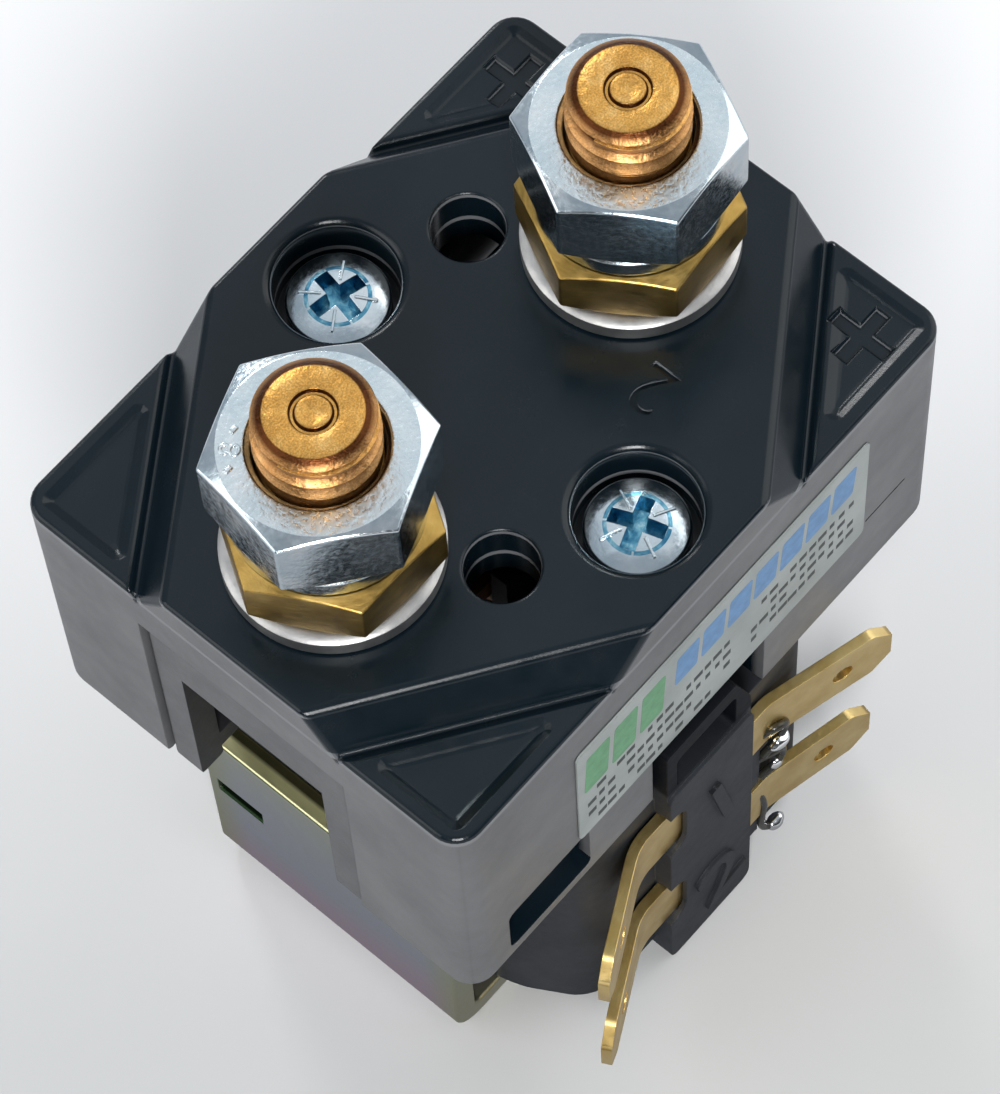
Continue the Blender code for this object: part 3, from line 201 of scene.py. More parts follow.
# Label: green and blue fields, then rows of bars, all as x and z in millimetres
GREEN_FIELD = tuple((-12.7 + 2.75 * k, 44.7, -10.4 + 2.75 * k, 49.8, 0.35) for k in range(3))
BLUE_FIELD = tuple((-3.7 + 2.65 * k, 46.3, -1.45 + 2.65 * k, 50.0, 0.3) for k in range(7))
BAR_BLOCKS = (
    (-5.2, 41.5, 13.6, 4.8, 15, 4, 0.74, 0.60, 0.86, 3),
    (9.4, 42.4, 10.0, 4.4, 11, 4, 0.76, 0.58, 0.86, 8),
)

# Light levels
STUDIO_LEVEL = 0.62
TABLE_GLOW = 0.95
TABLE_SHADE = 0.30

# Camera, found from the photograph
CAMERA_AT = (-0.1003975, -0.1006902, 0.3359355)
CAMERA_TURN = Quaternion((0.885548, 0.201561, -0.082742, -0.410283))
CAMERA_LENS = 161.1325
CAMERA_SHIFT = (-0.073327, 0.008825)


# Meshes


def link(name, mesh, material=None):
    """Put a mesh in the scene as an object at the origin."""
    obj = bpy.data.objects.new(name, mesh)
    bpy.context.scene.collection.objects.link(obj)
    if material is not None:
        mesh.materials.append(material)
    return obj


def from_bmesh(name, bm, material=None):
    bmesh.ops.remove_doubles(bm, verts=bm.verts, dist=1e-7)
    bmesh.ops.recalc_face_normals(bm, faces=bm.faces)
    mesh = bpy.data.meshes.new(name)
    bm.to_mesh(mesh)
    bm.free()
    return link(name, mesh, material)


def block(name, low, high, material=None, edge=0.0, steps=3):
    """Rectangular block between two corners, its edges rounded if asked."""
    bm = bmesh.new()
    bmesh.ops.create_cube(bm, size=1.0)
    size = Vector(high) - Vector(low)
    bmesh.ops.scale(bm, vec=size, verts=bm.verts)
    bmesh.ops.translate(bm, vec=(Vector(high) + Vector(low)) / 2, verts=bm.verts)
    if edge > 0.0:
        edges = list(bm.edges)
        bmesh.ops.bevel(bm, geom=edges, offset=edge, segments=steps, profile=0.5, affect="EDGES")
    return from_bmesh(name, bm, material)


def runs_up(edge):
    a, b = (v.co for v in edge.verts)
    return abs(a.x - b.x) < 1e-7 and abs(a.y - b.y) < 1e-7


def plate(name, outline, z0, z1, material=None, fillet=0.0, steps=8):
    """Upright plate on an outline of (x, y) points."""
    bm = bmesh.new()
    base = bm.faces.new([bm.verts.new((x, y, z0)) for x, y in outline])
    top = bmesh.ops.extrude_face_region(bm, geom=[base])["geom"]
    moved = [v for v in top if isinstance(v, bmesh.types.BMVert)]
    bmesh.ops.translate(bm, vec=(0, 0, z1 - z0), verts=moved)
    if fillet > 0.0:
        edges = [e for e in bm.edges if runs_up(e)]
        bmesh.ops.bevel(bm, geom=edges, offset=fillet, segments=steps, profile=0.5, affect="EDGES")
    return from_bmesh(name, bm, material)


def lathe(name, profile, at=(0.0, 0.0), steps=96, material=None, ring=False):
    """Turned piece about a vertical axis; a ring's profile is closed on itself."""
    bm = bmesh.new()
    rows = []
    for r, z in profile:
        if r < 1e-9:
            rows.append([bm.verts.new((at[0], at[1], z))])
            continue
        row = []
        for i in range(steps):
            a = 2 * math.pi * i / steps
            row.append(bm.verts.new((at[0] + r * math.cos(a), at[1] + r * math.sin(a), z)))
        rows.append(row)
    pairs = list(zip(rows, rows[1:]))
    if ring:
        pairs.append((rows[-1], rows[0]))
    for a, b in pairs:
        for i in range(steps):
            j = (i + 1) % steps
            corners = [a[i % len(a)], a[j % len(a)], b[j % len(b)], b[i % len(b)]]
            unique = []
            for v in corners:
                if v not in unique:
                    unique.append(v)
            if len(unique) > 2:
                bm.faces.new(unique)
    return from_bmesh(name, bm, material)


def cut(target, tool, operation="DIFFERENCE", solver="EXACT"):
    mod = target.modifiers.new("cut", "BOOLEAN")
    mod.operation = operation
    mod.solver = solver
    mod.object = tool
    tool["cutter"] = True


def round_edges(target, width, steps=3, angle=30.0, clamp=True):
    mod = target.modifiers.new("edges", "BEVEL")
    mod.width = width
    mod.segments = steps
    mod.limit_method = "ANGLE"
    mod.angle_limit = math.radians(angle)
    mod.use_clamp_overlap = clamp


def settle(obj, sharp=35.0, weighted=True):
    """Turn the modifiers into plain mesh at the origin, with even shading."""
    if weighted:
        mod = obj.modifiers.new("normals", "WEIGHTED_NORMAL")
        mod.keep_sharp = True
        mod.weight = 80
    obj.data.shade_smooth()
    obj.data.set_sharp_from_angle(angle=math.radians(sharp))
    graph = bpy.context.evaluated_depsgraph_get()
    mesh = bpy.data.meshes.new_from_object(obj.evaluated_get(graph), depsgraph=graph)
    mesh.transform(obj.matrix_world)
    obj.modifiers.clear()
    old = obj.data
    obj.data = mesh
    obj.matrix_world = Matrix.Identity(4)
    bpy.data.meshes.remove(old)
    return obj


def clear_cutters():
    for obj in [o for o in bpy.data.objects if o.get("cutter")]:
        bpy.data.objects.remove(obj, do_unlink=True)


def dress(obj, body, slot, *nodes):
    """A finished piece rides on its body and may stand for CAD nodes; the slot argument is not used."""
    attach(obj, body)
    if nodes:
        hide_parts(*nodes)


# Materials


class Finish:
    """Small helper that builds one node material."""

    def __init__(self, name):
        self.material = bpy.data.materials.new(name)
        self.material.use_nodes = True
        self.tree = self.material.node_tree
        self.shader = self.tree.nodes["Principled BSDF"]
        self.place = self.tree.nodes.new("ShaderNodeTexCoord").outputs["Object"]

    def set(self, **values):
        for name, value in values.items():
            socket = self.shader.inputs[name.replace("_", " ").title().replace("Ior", "IOR")]
            socket.default_value = (*value, 1.0) if isinstance(value, tuple) else value
        return self

    def node(self, kind, **links):
        made = self.tree.nodes.new(kind)
        for name, value in links.items():
            self.feed(made.inputs[name.replace("_", " ")], value)
        return made

    def feed(self, socket, value):
        if isinstance(value, bpy.types.NodeSocket):
            self.tree.links.new(value, socket)
        else:
            socket.default_value = value

    def noise(self, per_mm, detail=3.0, stretch=(1.0, 1.0, 1.0), seed=0.0):
        """Noise whose grains are so many to the millimetre."""
        move = self.tree.nodes.new("ShaderNodeMapping")
        move.inputs["Location"].default_value = (seed, seed * 0.37, -seed)
        move.inputs["Scale"].default_value = tuple(s * per_mm * 1000 for s in stretch)
        self.tree.links.new(self.place, move.inputs["Vector"])
        noise = self.node("ShaderNodeTexNoise", Vector=move.outputs[0], Scale=1.0, Detail=detail)
        return noise.outputs["Fac"]

    def ramp(self, value, *stops):
        """Colour ramp; each stop is (position, colour or grey)."""
        made = self.node("ShaderNodeValToRGB", Fac=value)
        elements = made.color_ramp.elements
        while len(elements) < len(stops):
            elements.new(0.5)
        for element, (position, colour) in zip(elements, stops):
            element.position = position
            colour = colour if isinstance(colour, tuple) else (colour,) * 3
            element.color = (*colour, 1.0)
        return made.outputs["Color"]

    def span(self, value, low, high, start=0.0, end=1.0):
        made = self.node("ShaderNodeMapRange", Value=value)
        made.inputs["From Min"].default_value = start
        made.inputs["From Max"].default_value = end
        made.inputs["To Min"].default_value = low
        made.inputs["To Max"].default_value = high
        return made.outputs[0]

    def blend(self, share, a, b, way="MIX"):
        made = self.tree.nodes.new("ShaderNodeMix")
        made.data_type = "RGBA"
        made.blend_type = way
        self.feed(made.inputs[0], share)
        self.feed(made.inputs[6], (*a, 1.0) if isinstance(a, tuple) else a)
        self.feed(made.inputs[7], (*b, 1.0) if isinstance(b, tuple) else b)
        return made.outputs[2]

    def maths(self, way, a, b=0.0):
        made = self.tree.nodes.new("ShaderNodeMath")
        made.operation = way
        self.feed(made.inputs[0], a)
        self.feed(made.inputs[1], b)
        return made.outputs[0]

    def colour(self, value):
        self.tree.links.new(value, self.shader.inputs["Base Color"])
        return self

    def rough(self, value):
        self.tree.links.new(value, self.shader.inputs["Roughness"])
        return self

    def relief(self, height, depth_mm, strength=1.0, soft=0.0):
        """Bump from a height field; soft also rounds the mesh edges in the shading."""
        bump = self.node("ShaderNodeBump", Height=height, Strength=strength, Distance=depth_mm * MM)
        if soft > 0.0:
            edge = self.tree.nodes.new("ShaderNodeBevel")
            edge.samples = 6
            edge.inputs["Radius"].default_value = soft
            self.tree.links.new(edge.outputs[0], bump.inputs["Normal"])
        self.tree.links.new(bump.outputs[0], self.shader.inputs["Normal"])
        return self

    def axis(self, letter):
        parts = self.node("ShaderNodeSeparateXYZ", Vector=self.place)
        return parts.outputs[letter]

    def facing(self, letter):
        """One part of the surface direction, seen from the object."""
        geometry = self.tree.nodes.new("ShaderNodeNewGeometry")
        parts = self.node("ShaderNodeSeparateXYZ", Vector=geometry.outputs["Normal"])
        return parts.outputs[letter]


def black_moulding():
    """Glossy on top; the outer walls are painted paler, a painted reflection of the pale table seen at a
    grazing angle.
    """
    f = Finish("black_moulding").set(ior=1.5)
    cloud = f.noise(0.12, 4.0)
    top = f.ramp(cloud, (0.3, (0.0020, 0.0066, 0.0100)), (0.7, (0.0040, 0.0094, 0.0138)))
    # Painted reflection: the outer walls are painted pale grey for the table they mirror.
    wall_painted_reflection = f.ramp(cloud, (0.3, (0.095, 0.096, 0.100)), (0.7, (0.135, 0.136, 0.140)))
    along = f.span(
        f.maths("ABSOLUTE", f.axis("X")),
        0.0,
        1.0,
        COVER_HALF_X - 1.1 * MM,
        COVER_HALF_X - 0.5 * MM,
    )
    across = f.span(
        f.maths("ABSOLUTE", f.axis("Y")),
        0.0,
        1.0,
        COVER_HALF_Y - 1.1 * MM,
        COVER_HALF_Y - 0.5 * MM,
    )
    outside = f.maths("MAXIMUM", along, across)
    rising = f.span(f.facing("Z"), 0.0, 1.0, 0.04, 0.26)
    level = f.maths("MAXIMUM", rising, f.maths("SUBTRACT", 1.0, outside))
    # Painted highlight: steep walls near the plateau and inside the engraved marks are painted pale.
    steep = f.span(f.facing("Z"), 1.0, 0.0, 0.2, 0.6)
    panel = PAD_LEVEL - PANEL_SINK
    in_plateau = f.span(f.axis("Z"), 0.0, 1.0, COVER_TOP - MARK_DEPTH - 0.04 * MM, COVER_TOP - MARK_DEPTH)
    over_floor = f.span(f.axis("Z"), 0.0, 1.0, panel - MARK_DEPTH - 0.04 * MM, panel - MARK_DEPTH)
    under_panel = f.span(f.axis("Z"), 1.0, 0.0, panel, panel + 0.04 * MM)
    in_marks = f.maths("MAXIMUM", in_plateau, f.maths("MULTIPLY", over_floor, under_panel))
    mark_painted_highlight = f.maths("MULTIPLY", steep, in_marks)
    f.colour(f.blend(mark_painted_highlight, f.blend(level, wall_painted_reflection, top), (0.17, 0.175, 0.185)))
    f.feed(f.shader.inputs["Specular IOR Level"], f.span(level, 0.62, 0.30))
    fine = f.noise(9.0, 2.0)
    wide = f.noise(0.5, 3.0, seed=4.0)
    spread = f.maths("ADD", f.span(wide, 0.17, 0.28, 0.3, 0.7), f.span(fine, -0.03, 0.03))
    f.rough(f.maths("ADD", spread, f.span(level, 0.18, 0.0)))
    grain = f.maths("ADD", f.noise(5.0, 3.0, seed=2.0), f.maths("MULTIPLY", fine, 0.5))
    return f.relief(grain, 0.010, 0.35, 0.12 * MM).material


def inner_moulding():
    """The ears' outward faces are painted pale, the same painted reflection of the table as on the cover's
    walls.
    """
    f = Finish("inner_moulding")
    dark = f.ramp(f.noise(0.3, 3.0), (0.3, (0.010, 0.010, 0.012)), (0.7, (0.018, 0.018, 0.021)))
    # Painted reflection: pale grey where the ears face outward.
    ear_painted_reflection = f.ramp(f.noise(0.3, 3.0), (0.3, (0.085, 0.086, 0.090)), (0.7, (0.115, 0.116, 0.120)))
    outward = f.span(f.maths("ABSOLUTE", f.facing("X")), 0.0, 1.0, 0.6, 0.9)
    ears = f.span(f.maths("ABSOLUTE", f.axis("X")), 0.0, 1.0, 22.0 * MM, 23.0 * MM)
    f.colour(f.blend(f.maths("MULTIPLY", outward, ears), dark, ear_painted_reflection))
    f.rough(f.span(f.noise(2.0), 0.42, 0.6))
    return f.relief(f.noise(7.0), 0.01, 0.3, 0.1 * MM).material


def coil_moulding():
    f = Finish("coil_moulding")
    grey = f.ramp(f.noise(0.25, 4.0), (0.3, (0.014, 0.016, 0.020)), (0.72, (0.024, 0.027, 0.033)))
    # Painted shade: above the block's top the heel and its pocket are painted near black, with less specular,
    # for the shadow they lie in.
    heel = f.span(f.axis("Z"), 0.0, 1.0, BLOCK_TOP, BLOCK_TOP + 0.6 * MM)
    f.colour(f.blend(heel, grey, (0.003, 0.004, 0.006)))
    f.feed(f.shader.inputs["Specular IOR Level"], f.span(heel, 0.35, 0.12))
    f.rough(f.span(f.noise(1.3), 0.48, 0.66))
    return f.relief(f.noise(6.0, 3.0), 0.018, 0.5, 0.15 * MM).material


def bobbin_nylon():
    f = Finish("bobbin_nylon").set(subsurface_weight=0.1)
    f.colour(f.ramp(f.noise(0.3), (0.3, (0.50, 0.47, 0.40)), (0.7, (0.60, 0.57, 0.49))))
    f.rough(f.span(f.noise(2.0), 0.45, 0.6))
    return f.relief(f.noise(5.0), 0.01, 0.3).material


def wound_wire():
    """Enamelled wire in close turns round the bobbin; each turn is painted darker towards its edges, a painted
    shade between the turns.
    """
    f = Finish("enamelled_copper").set(metallic=1.0)
    turns = f.maths("FRACT", f.maths("MULTIPLY", f.axis("Z"), 1000 / 0.35))
    rounded = f.maths("SQRT", f.maths("SUBTRACT", 1.0, f.maths("POWER", f.span(turns, -1.0, 1.0), 2.0)))
    # Painted shade: the colour darkens towards the edges of each turn.
    f.colour(f.ramp(rounded, (0.1, (0.14, 0.04, 0.015)), (0.8, (0.50, 0.19, 0.07))))
    f.rough(f.span(f.noise(3.0), 0.28, 0.42))
    return f.relief(rounded, 0.12, 0.8).material


def stud_copper():
    """Turned copper: fine rings; the upward face is painted brighter and more golden, partly its own turned
    colour and partly a painted highlight; the thread roots are painted nearly black, a painted shade.
    """
    f = Finish("stud_copper").set(metallic=1.0)
    mottle = f.noise(0.8, 5.0)
    grit = f.noise(9.0, 4.0, seed=3.0)
    side = f.ramp(
        mottle,
        (0.3, (0.50, 0.25, 0.085)),
        (0.55, (0.64, 0.34, 0.13)),
        (0.75, (0.70, 0.40, 0.17)),
    )
    # Upward face: the copper's own golden tone plus a painted highlight.
    face = f.ramp(
        mottle,
        (0.3, (0.70, 0.36, 0.085)),
        (0.55, (0.84, 0.46, 0.12)),
        (0.75, (0.94, 0.58, 0.20)),
    )
    upward = f.span(f.facing("Z"), 0.0, 1.0, 0.9, 0.98)
    off = f.maths("SUBTRACT", f.maths("ABSOLUTE", f.axis("X")), STUD_X)
    out = f.maths(
        "SQRT",
        f.maths("ADD", f.maths("MULTIPLY", off, off), f.maths("POWER", f.axis("Y"), 2.0)),
    )
    # Painted shade: inside the crests the thread roots are painted nearly black.
    crest = f.span(out, 0.0, 1.0, 3.42 * MM, 3.85 * MM)
    root = f.blend(crest, (0.10, 0.035, 0.012), side)
    base = f.blend(upward, root, face)
    spots = f.ramp(grit, (0.42, 0.55), (0.6, 1.0))
    f.colour(f.blend(0.6, base, spots, "MULTIPLY"))
    f.rough(f.span(grit, 0.28, 0.48, 0.35, 0.65))
    rings = f.noise(6.0, 3.0, stretch=(0.25, 0.25, 3.0), seed=1.0)
    height = f.maths("ADD", f.maths("MULTIPLY", rings, 0.5), f.noise(2.6, 4.0, seed=3.0))
    return f.relief(height, 0.10, 0.6, 0.05 * MM).material


def bridge_copper():
    f = Finish("bridge_copper").set(metallic=1.0)
    f.colour(f.ramp(f.noise(0.4, 4.0), (0.3, (0.62, 0.30, 0.14)), (0.7, (0.78, 0.42, 0.22))))
    f.rough(f.span(f.noise(4.0), 0.3, 0.45))
    return f.relief(f.noise(4.0, 3.0, stretch=(0.3, 3.0, 3.0)), 0.012, 0.4).material


def silver_tip():
    f = Finish("silver_tip").set(metallic=1.0)
    f.colour(f.ramp(f.noise(0.8), (0.3, (0.72, 0.71, 0.67)), (0.7, (0.88, 0.87, 0.84))))
    f.rough(f.span(f.noise(5.0), 0.25, 0.4))
    return f.relief(f.noise(6.0), 0.012, 0.4).material


def nut_brass():
    """Bar brass with drawing lines along the flats and darker tarnish."""
    f = Finish("brass").set(metallic=1.0)
    tarnish = f.noise(0.5, 5.0)
    lines = f.noise(1.1, 4.0, stretch=(1.0, 1.0, 9.0), seed=5.0)
    base = f.ramp(
        tarnish,
        (0.32, (0.28, 0.175, 0.045)),
        (0.58, (0.42, 0.275, 0.08)),
        (0.75, (0.52, 0.36, 0.12)),
    )
    f.colour(f.blend(0.5, base, f.ramp(lines, (0.35, 0.66), (0.65, 1.0)), "MULTIPLY"))
    f.rough(f.span(lines, 0.28, 0.46, 0.3, 0.7))
    return f.relief(f.maths("ADD", lines, f.noise(7.0)), 0.02, 0.45, 0.08 * MM).material


def spade_brass():
    f = Finish("spade_brass").set(metallic=1.0)
    f.colour(f.ramp(f.noise(0.45, 5.0), (0.3, (0.74, 0.51, 0.17)), (0.7, (0.93, 0.71, 0.31))))
    f.rough(f.span(f.noise(2.5), 0.26, 0.42))
    return f.relief(f.noise(5.0, 3.0), 0.02, 0.45, 0.08 * MM).material


def blue_zinc():
    """Blue-passivated zinc: bright cells of plate over a fine peened skin."""
    f = Finish("blue_zinc").set(metallic=1.0)
    cloud = f.noise(0.35, 5.0)
    f.colour(
        f.ramp(cloud, (0.3, (0.50, 0.60, 0.65)), (0.5, (0.62, 0.70, 0.74)), (0.72, (0.74, 0.78, 0.79)))
    )
    pits = f.noise(3.0, 3.0, seed=7.0)
    f.rough(f.span(pits, 0.13, 0.24, 0.35, 0.65))
    return f.relief(
        f.maths("ADD", pits, f.maths("MULTIPLY", f.noise(0.9, 3.0), 1.6)),
        0.03,
        0.3,
        0.1 * MM,
    ).material


def peened_zinc():
    """The nuts' top faces are rougher and dimpled."""
    f = Finish("peened_zinc").set(metallic=1.0)
    cloud = f.noise(0.5, 5.0)
    f.colour(
        f.ramp(cloud, (0.3, (0.58, 0.68, 0.72)), (0.6, (0.70, 0.77, 0.79)), (0.75, (0.78, 0.81, 0.81)))
    )
    pits = f.noise(3.0, 3.0, seed=11.0)
    f.rough(f.span(pits, 0.22, 0.36, 0.35, 0.65))
    return f.relief(f.maths("ADD", pits, f.noise(1.7, 3.0, seed=2.0)), 0.08, 0.5, 0.1 * MM).material


def recess_zinc():
    """The plate lies thick and blue in the screws' recesses."""
    f = Finish("recess_zinc").set(metallic=1.0)
    f.colour(
        f.ramp(
            f.noise(1.6, 4.0),
            (0.35, (0.05, 0.20, 0.32)),
            (0.55, (0.16, 0.40, 0.52)),
            (0.7, (0.42, 0.62, 0.68)),
        )
    )
    f.rough(f.span(f.noise(4.0), 0.14, 0.3))
    return f.relief(f.noise(3.0), 0.04, 0.4).material


def washer_steel():
    f = Finish("washer_steel").set(metallic=1.0)
    f.colour(f.ramp(f.noise(0.6, 5.0), (0.3, (0.36, 0.36, 0.36)), (0.7, (0.56, 0.55, 0.53))))
    f.rough(f.span(f.noise(3.0), 0.34, 0.5))
    return f.relief(f.noise(4.0, 4.0), 0.03, 0.5, 0.08 * MM).material


def passivated_steel():
    """Zinc plate with a yellow-green to lilac sheen that shifts along the sheet; the leg tops carry painted
    light and shade and the slot floors painted shade.
    """
    f = Finish("passivated_steel").set(metallic=1.0)
    drift = f.noise(0.055, 3.0, seed=1.7)
    height = f.span(f.axis("Z"), 0.0, 1.0, 0.0, 0.022)
    where = f.maths("ADD", f.maths("MULTIPLY", height, 0.75), f.maths("MULTIPLY", drift, 0.35))
    tint = f.ramp(
        where,
        (0.12, (0.50, 0.37, 0.45)),
        (0.36, (0.52, 0.42, 0.50)),
        (0.52, (0.44, 0.46, 0.52)),
        (0.70, (0.44, 0.47, 0.50)),
        (0.90, (0.46, 0.48, 0.40)),
    )
    ends = f.span(f.maths("ABSOLUTE", f.axis("Y")), 0.0, 0.75, 8.4 * MM, 11.2 * MM)
    sheen = f.blend(ends, tint, (0.42, 0.44, 0.24))
    edge = f.span(
        f.maths("ABSOLUTE", f.axis("X")),
        0.0,
        1.0,
        FRAME_HALF_X - 1.25 * MM,
        FRAME_HALF_X - 0.95 * MM,
    )
    # Leg tops: the outer edge is painted pale yellow, its own cut-edge tint plus a painted highlight, and the
    # rest dark olive, a painted shade under the cover.
    high = f.span(f.axis("Z"), 0.0, 1.0, 17.0 * MM, 18.0 * MM)
    upward = f.maths("MULTIPLY", high, f.span(f.facing("Z"), 0.0, 1.0, 0.6, 0.9))
    leg_top_painted_light_and_shade = f.blend(edge, (0.07, 0.065, 0.035), (0.80, 0.78, 0.46))
    # Painted shade: upward faces above the base, such as the slot floors, are painted near black.
    above_base = f.span(f.axis("Z"), 0.0, 1.0, 5.0 * MM, 6.0 * MM)
    slot_painted_shade = f.maths("MULTIPLY", above_base, f.span(f.facing("Z"), 0.0, 1.0, 0.3, 0.6))
    f.colour(f.blend(upward, f.blend(slot_painted_shade, sheen, (0.02, 0.04, 0.018)), leg_top_painted_light_and_shade))
    f.rough(f.span(f.noise(1.2, 4.0), 0.30, 0.46))
    return f.relief(f.noise(3.0, 4.0), 0.02, 0.4, 0.1 * MM).material


def yoke_steel():
    f = Finish("yoke_steel").set(metallic=1.0)
    f.colour(f.ramp(f.noise(0.4, 4.0), (0.3, (0.30, 0.30, 0.24)), (0.7, (0.42, 0.41, 0.32))))
    f.rough(f.span(f.noise(2.0, 4.0), 0.32, 0.5))
    return f.relief(f.noise(3.0, 4.0), 0.02, 0.4, 0.1 * MM).material


def magnet_iron():
    f = Finish("magnet_iron").set(metallic=1.0)
    f.colour(f.ramp(f.noise(0.7, 4.0), (0.3, (0.40, 0.40, 0.41)), (0.7, (0.56, 0.56, 0.56))))
    f.rough(f.span(f.noise(3.0), 0.3, 0.5))
    return f.relief(f.noise(6.0, 3.0, stretch=(0.3, 0.3, 3.0)), 0.02, 0.5).material


def spring_steel():
    f = Finish("spring_steel").set(metallic=1.0)
    f.colour(f.ramp(f.noise(1.0), (0.3, (0.50, 0.50, 0.52)), (0.7, (0.64, 0.64, 0.66))))
    f.rough(f.span(f.noise(4.0), 0.22, 0.36))
    return f.relief(f.noise(6.0), 0.01, 0.3).material


def solder_metal():
    f = Finish("solder").set(metallic=1.0)
    f.colour(f.ramp(f.noise(1.0), (0.3, (0.74, 0.75, 0.74)), (0.7, (0.92, 0.93, 0.92))))
    f.rough(f.span(f.noise(3.0), 0.10, 0.22))
    return f.relief(f.noise(2.0), 0.03, 0.4).material


def dark_enamel():
    f = Finish("dark_enamel")
    f.colour(f.ramp(f.noise(0.8), (0.3, (0.010, 0.011, 0.010)), (0.7, (0.03, 0.028, 0.02))))
    f.rough(f.span(f.noise(3.0), 0.18, 0.3))
    return f.relief(f.noise(2.5), 0.03, 0.4).material


def label_foil():
    f = Finish("label_foil").set(metallic=0.15)
    f.colour(f.ramp(f.noise(0.2), (0.3, (0.27, 0.30, 0.29)), (0.7, (0.36, 0.39, 0.38))))
    f.rough(f.span(f.noise(3.0), 0.38, 0.5))
    return f.relief(f.noise(5.0), 0.006, 0.3).material


def ink(name, colour):
    f = Finish(name)
    lighter = tuple(min(1.0, c * 1.25) for c in colour)
    f.colour(f.ramp(f.noise(1.5), (0.3, colour), (0.7, lighter)))
    f.rough(f.span(f.noise(4.0), 0.4, 0.55))
    return f.material


BLACK = black_moulding()
INNER = inner_moulding()
CHARCOAL = coil_moulding()
NYLON = bobbin_nylon()
WIRE = wound_wire()
COPPER = stud_copper()
BRIDGE = bridge_copper()
SILVER = silver_tip()
BRASS = nut_brass()
SPADE = spade_brass()
ZINC = blue_zinc()
PEENED = peened_zinc()
RECESS = recess_zinc()
WASHER = washer_steel()
STEEL = passivated_steel()
YOKE = yoke_steel()
IRON = magnet_iron()
SPRING = spring_steel()
TIN = solder_metal()
ENAMEL = dark_enamel()
FOIL = label_foil()
GREEN_INK = ink("green_ink", (0.10, 0.25, 0.13))
BLUE_INK = ink("blue_ink", (0.10, 0.21, 0.38))
GREY_INK = ink("grey_ink", (0.035, 0.040, 0.039))

NODE_FINISH = {
    "steel_frame": STEEL,
    "yoke_plate": YOKE,
    "coil_body": CHARCOAL,
    "coil_bobbin": NYLON,
    "coil_winding": WIRE,
    "fixed_pole": IRON,
    "plunger": IRON,
    "spindle": SPRING,
    "return_spring": SPRING,
    "contact_spring": SPRING,
    "contact_housing": INNER,
    "moving_contact": BRIDGE,
    "moving_tip_1": SILVER,
    "moving_tip_2": SILVER,
    "contact_bush": NYLON,
    "spindle_clip": SPRING,
    "cover": BLACK,
    "cover_screw_1": ZINC,
    "cover_screw_2": ZINC,
    "label": FOIL,
    "main_stud_1": COPPER,
    "main_stud_2": COPPER,
    "fixed_tip_1": SILVER,
    "fixed_tip_2": SILVER,
    "plain_washer_1": WASHER,
    "plain_washer_2": WASHER,
    "brass_nut_1": BRASS,
    "brass_nut_2": BRASS,
    "spring_washer_1": ZINC,
    "spring_washer_2": ZINC,
    "steel_nut_1": ZINC,
    "steel_nut_2": ZINC,
    "coil_terminal_upper": SPADE,
    "coil_terminal_lower": SPADE,
}


def finish_cad_nodes():
    for name, material in NODE_FINISH.items():
        obj = NODES[name]
        if not obj.material_slots:
            obj.data.materials.append(material)
        for slot in obj.material_slots:
            slot.material = material


# Cover


def corner_run():
    """Direction along the edge of the plateau at the +X +Y corner, and the way out."""
    run = Vector((COVER_HALF_X - PLATEAU_SIDE_HALF_X, PLATEAU_END_HALF_Y - COVER_HALF_Y, 0.0)).normalized(
    )
    return run, Vector((-run.y, run.x, 0.0))


def corner_relief(sign_x, sign_y):
    """What is missing above one lowered corner: slope, groove and pad."""
    run, out = corner_run()
    start = Vector((COVER_HALF_X, PLATEAU_END_HALF_Y, 0.0))
    reach = 60 * MM
    above = COVER_TOP + 2 * MM
    section = [
        (0.0, COVER_TOP),
        (SLOPE_RUN, COVER_TOP - SLOPE_DROP),
        (SLOPE_RUN + PAD_LEDGE, PAD_LEVEL),
        (reach / 2, PAD_LEVEL),
        (reach / 2, above),
        (-SLOPE_RUN * 2 * MM / SLOPE_DROP, above),
    ]
    bm = bmesh.new()
    verts = []
    for d, z in section:
        p = start + out * d - run * reach
        verts.append(bm.verts.new((p.x, p.y, z)))
    far = bmesh.ops.extrude_face_region(bm, geom=[bm.faces.new(verts)])["geom"]
    moved = [v for v in far if isinstance(v, bmesh.types.BMVert)]
    bmesh.ops.translate(bm, vec=run * 2 * reach, verts=moved)
    bmesh.ops.scale(bm, vec=(sign_x, sign_y, 1.0), verts=bm.verts)
    return from_bmesh("corner_relief", bm)


def panel_triangle(sign_x, sign_y, inset):
    """Corners of the sunk panel on a pad, drawn in by the inset."""
    _, out = corner_run()
    limit = out.x * COVER_HALF_X + out.y * PLATEAU_END_HALF_Y + SLOPE_RUN + PAD_LEDGE + PANEL_SLOPE_RIM + inset
    x1 = COVER_HALF_X - PANEL_OUTER_RIM - inset
    y1 = COVER_HALF_Y - PANEL_OUTER_RIM - inset
    corners = [(x1, (limit - out.x * x1) / out.y), (x1, y1), ((limit - out.y * y1) / out.x, y1)]
    return [Vector((sign_x * x, sign_y * y)) for x, y in corners]


def rounded_loop(corners, radius, steps=6):
    """Closed outline with its corners rounded by arcs."""
    points = []
    count = len(corners)
    for i, corner in enumerate(corners):
        before = (corners[i - 1] - corner).normalized()
        after = (corners[(i + 1) % count] - corner).normalized()
        half = before.angle(after) / 2
        back = radius / math.tan(half)
        centre = corner + (before + after).normalized() * (radius / math.sin(half))
        start = corner + before * back - centre
        end = corner + after * back - centre
        for k in range(steps + 1):
            t = k / steps
            arm = (start * (1 - t) + end * t).normalized() * radius
            points.append(centre + arm)
    return points


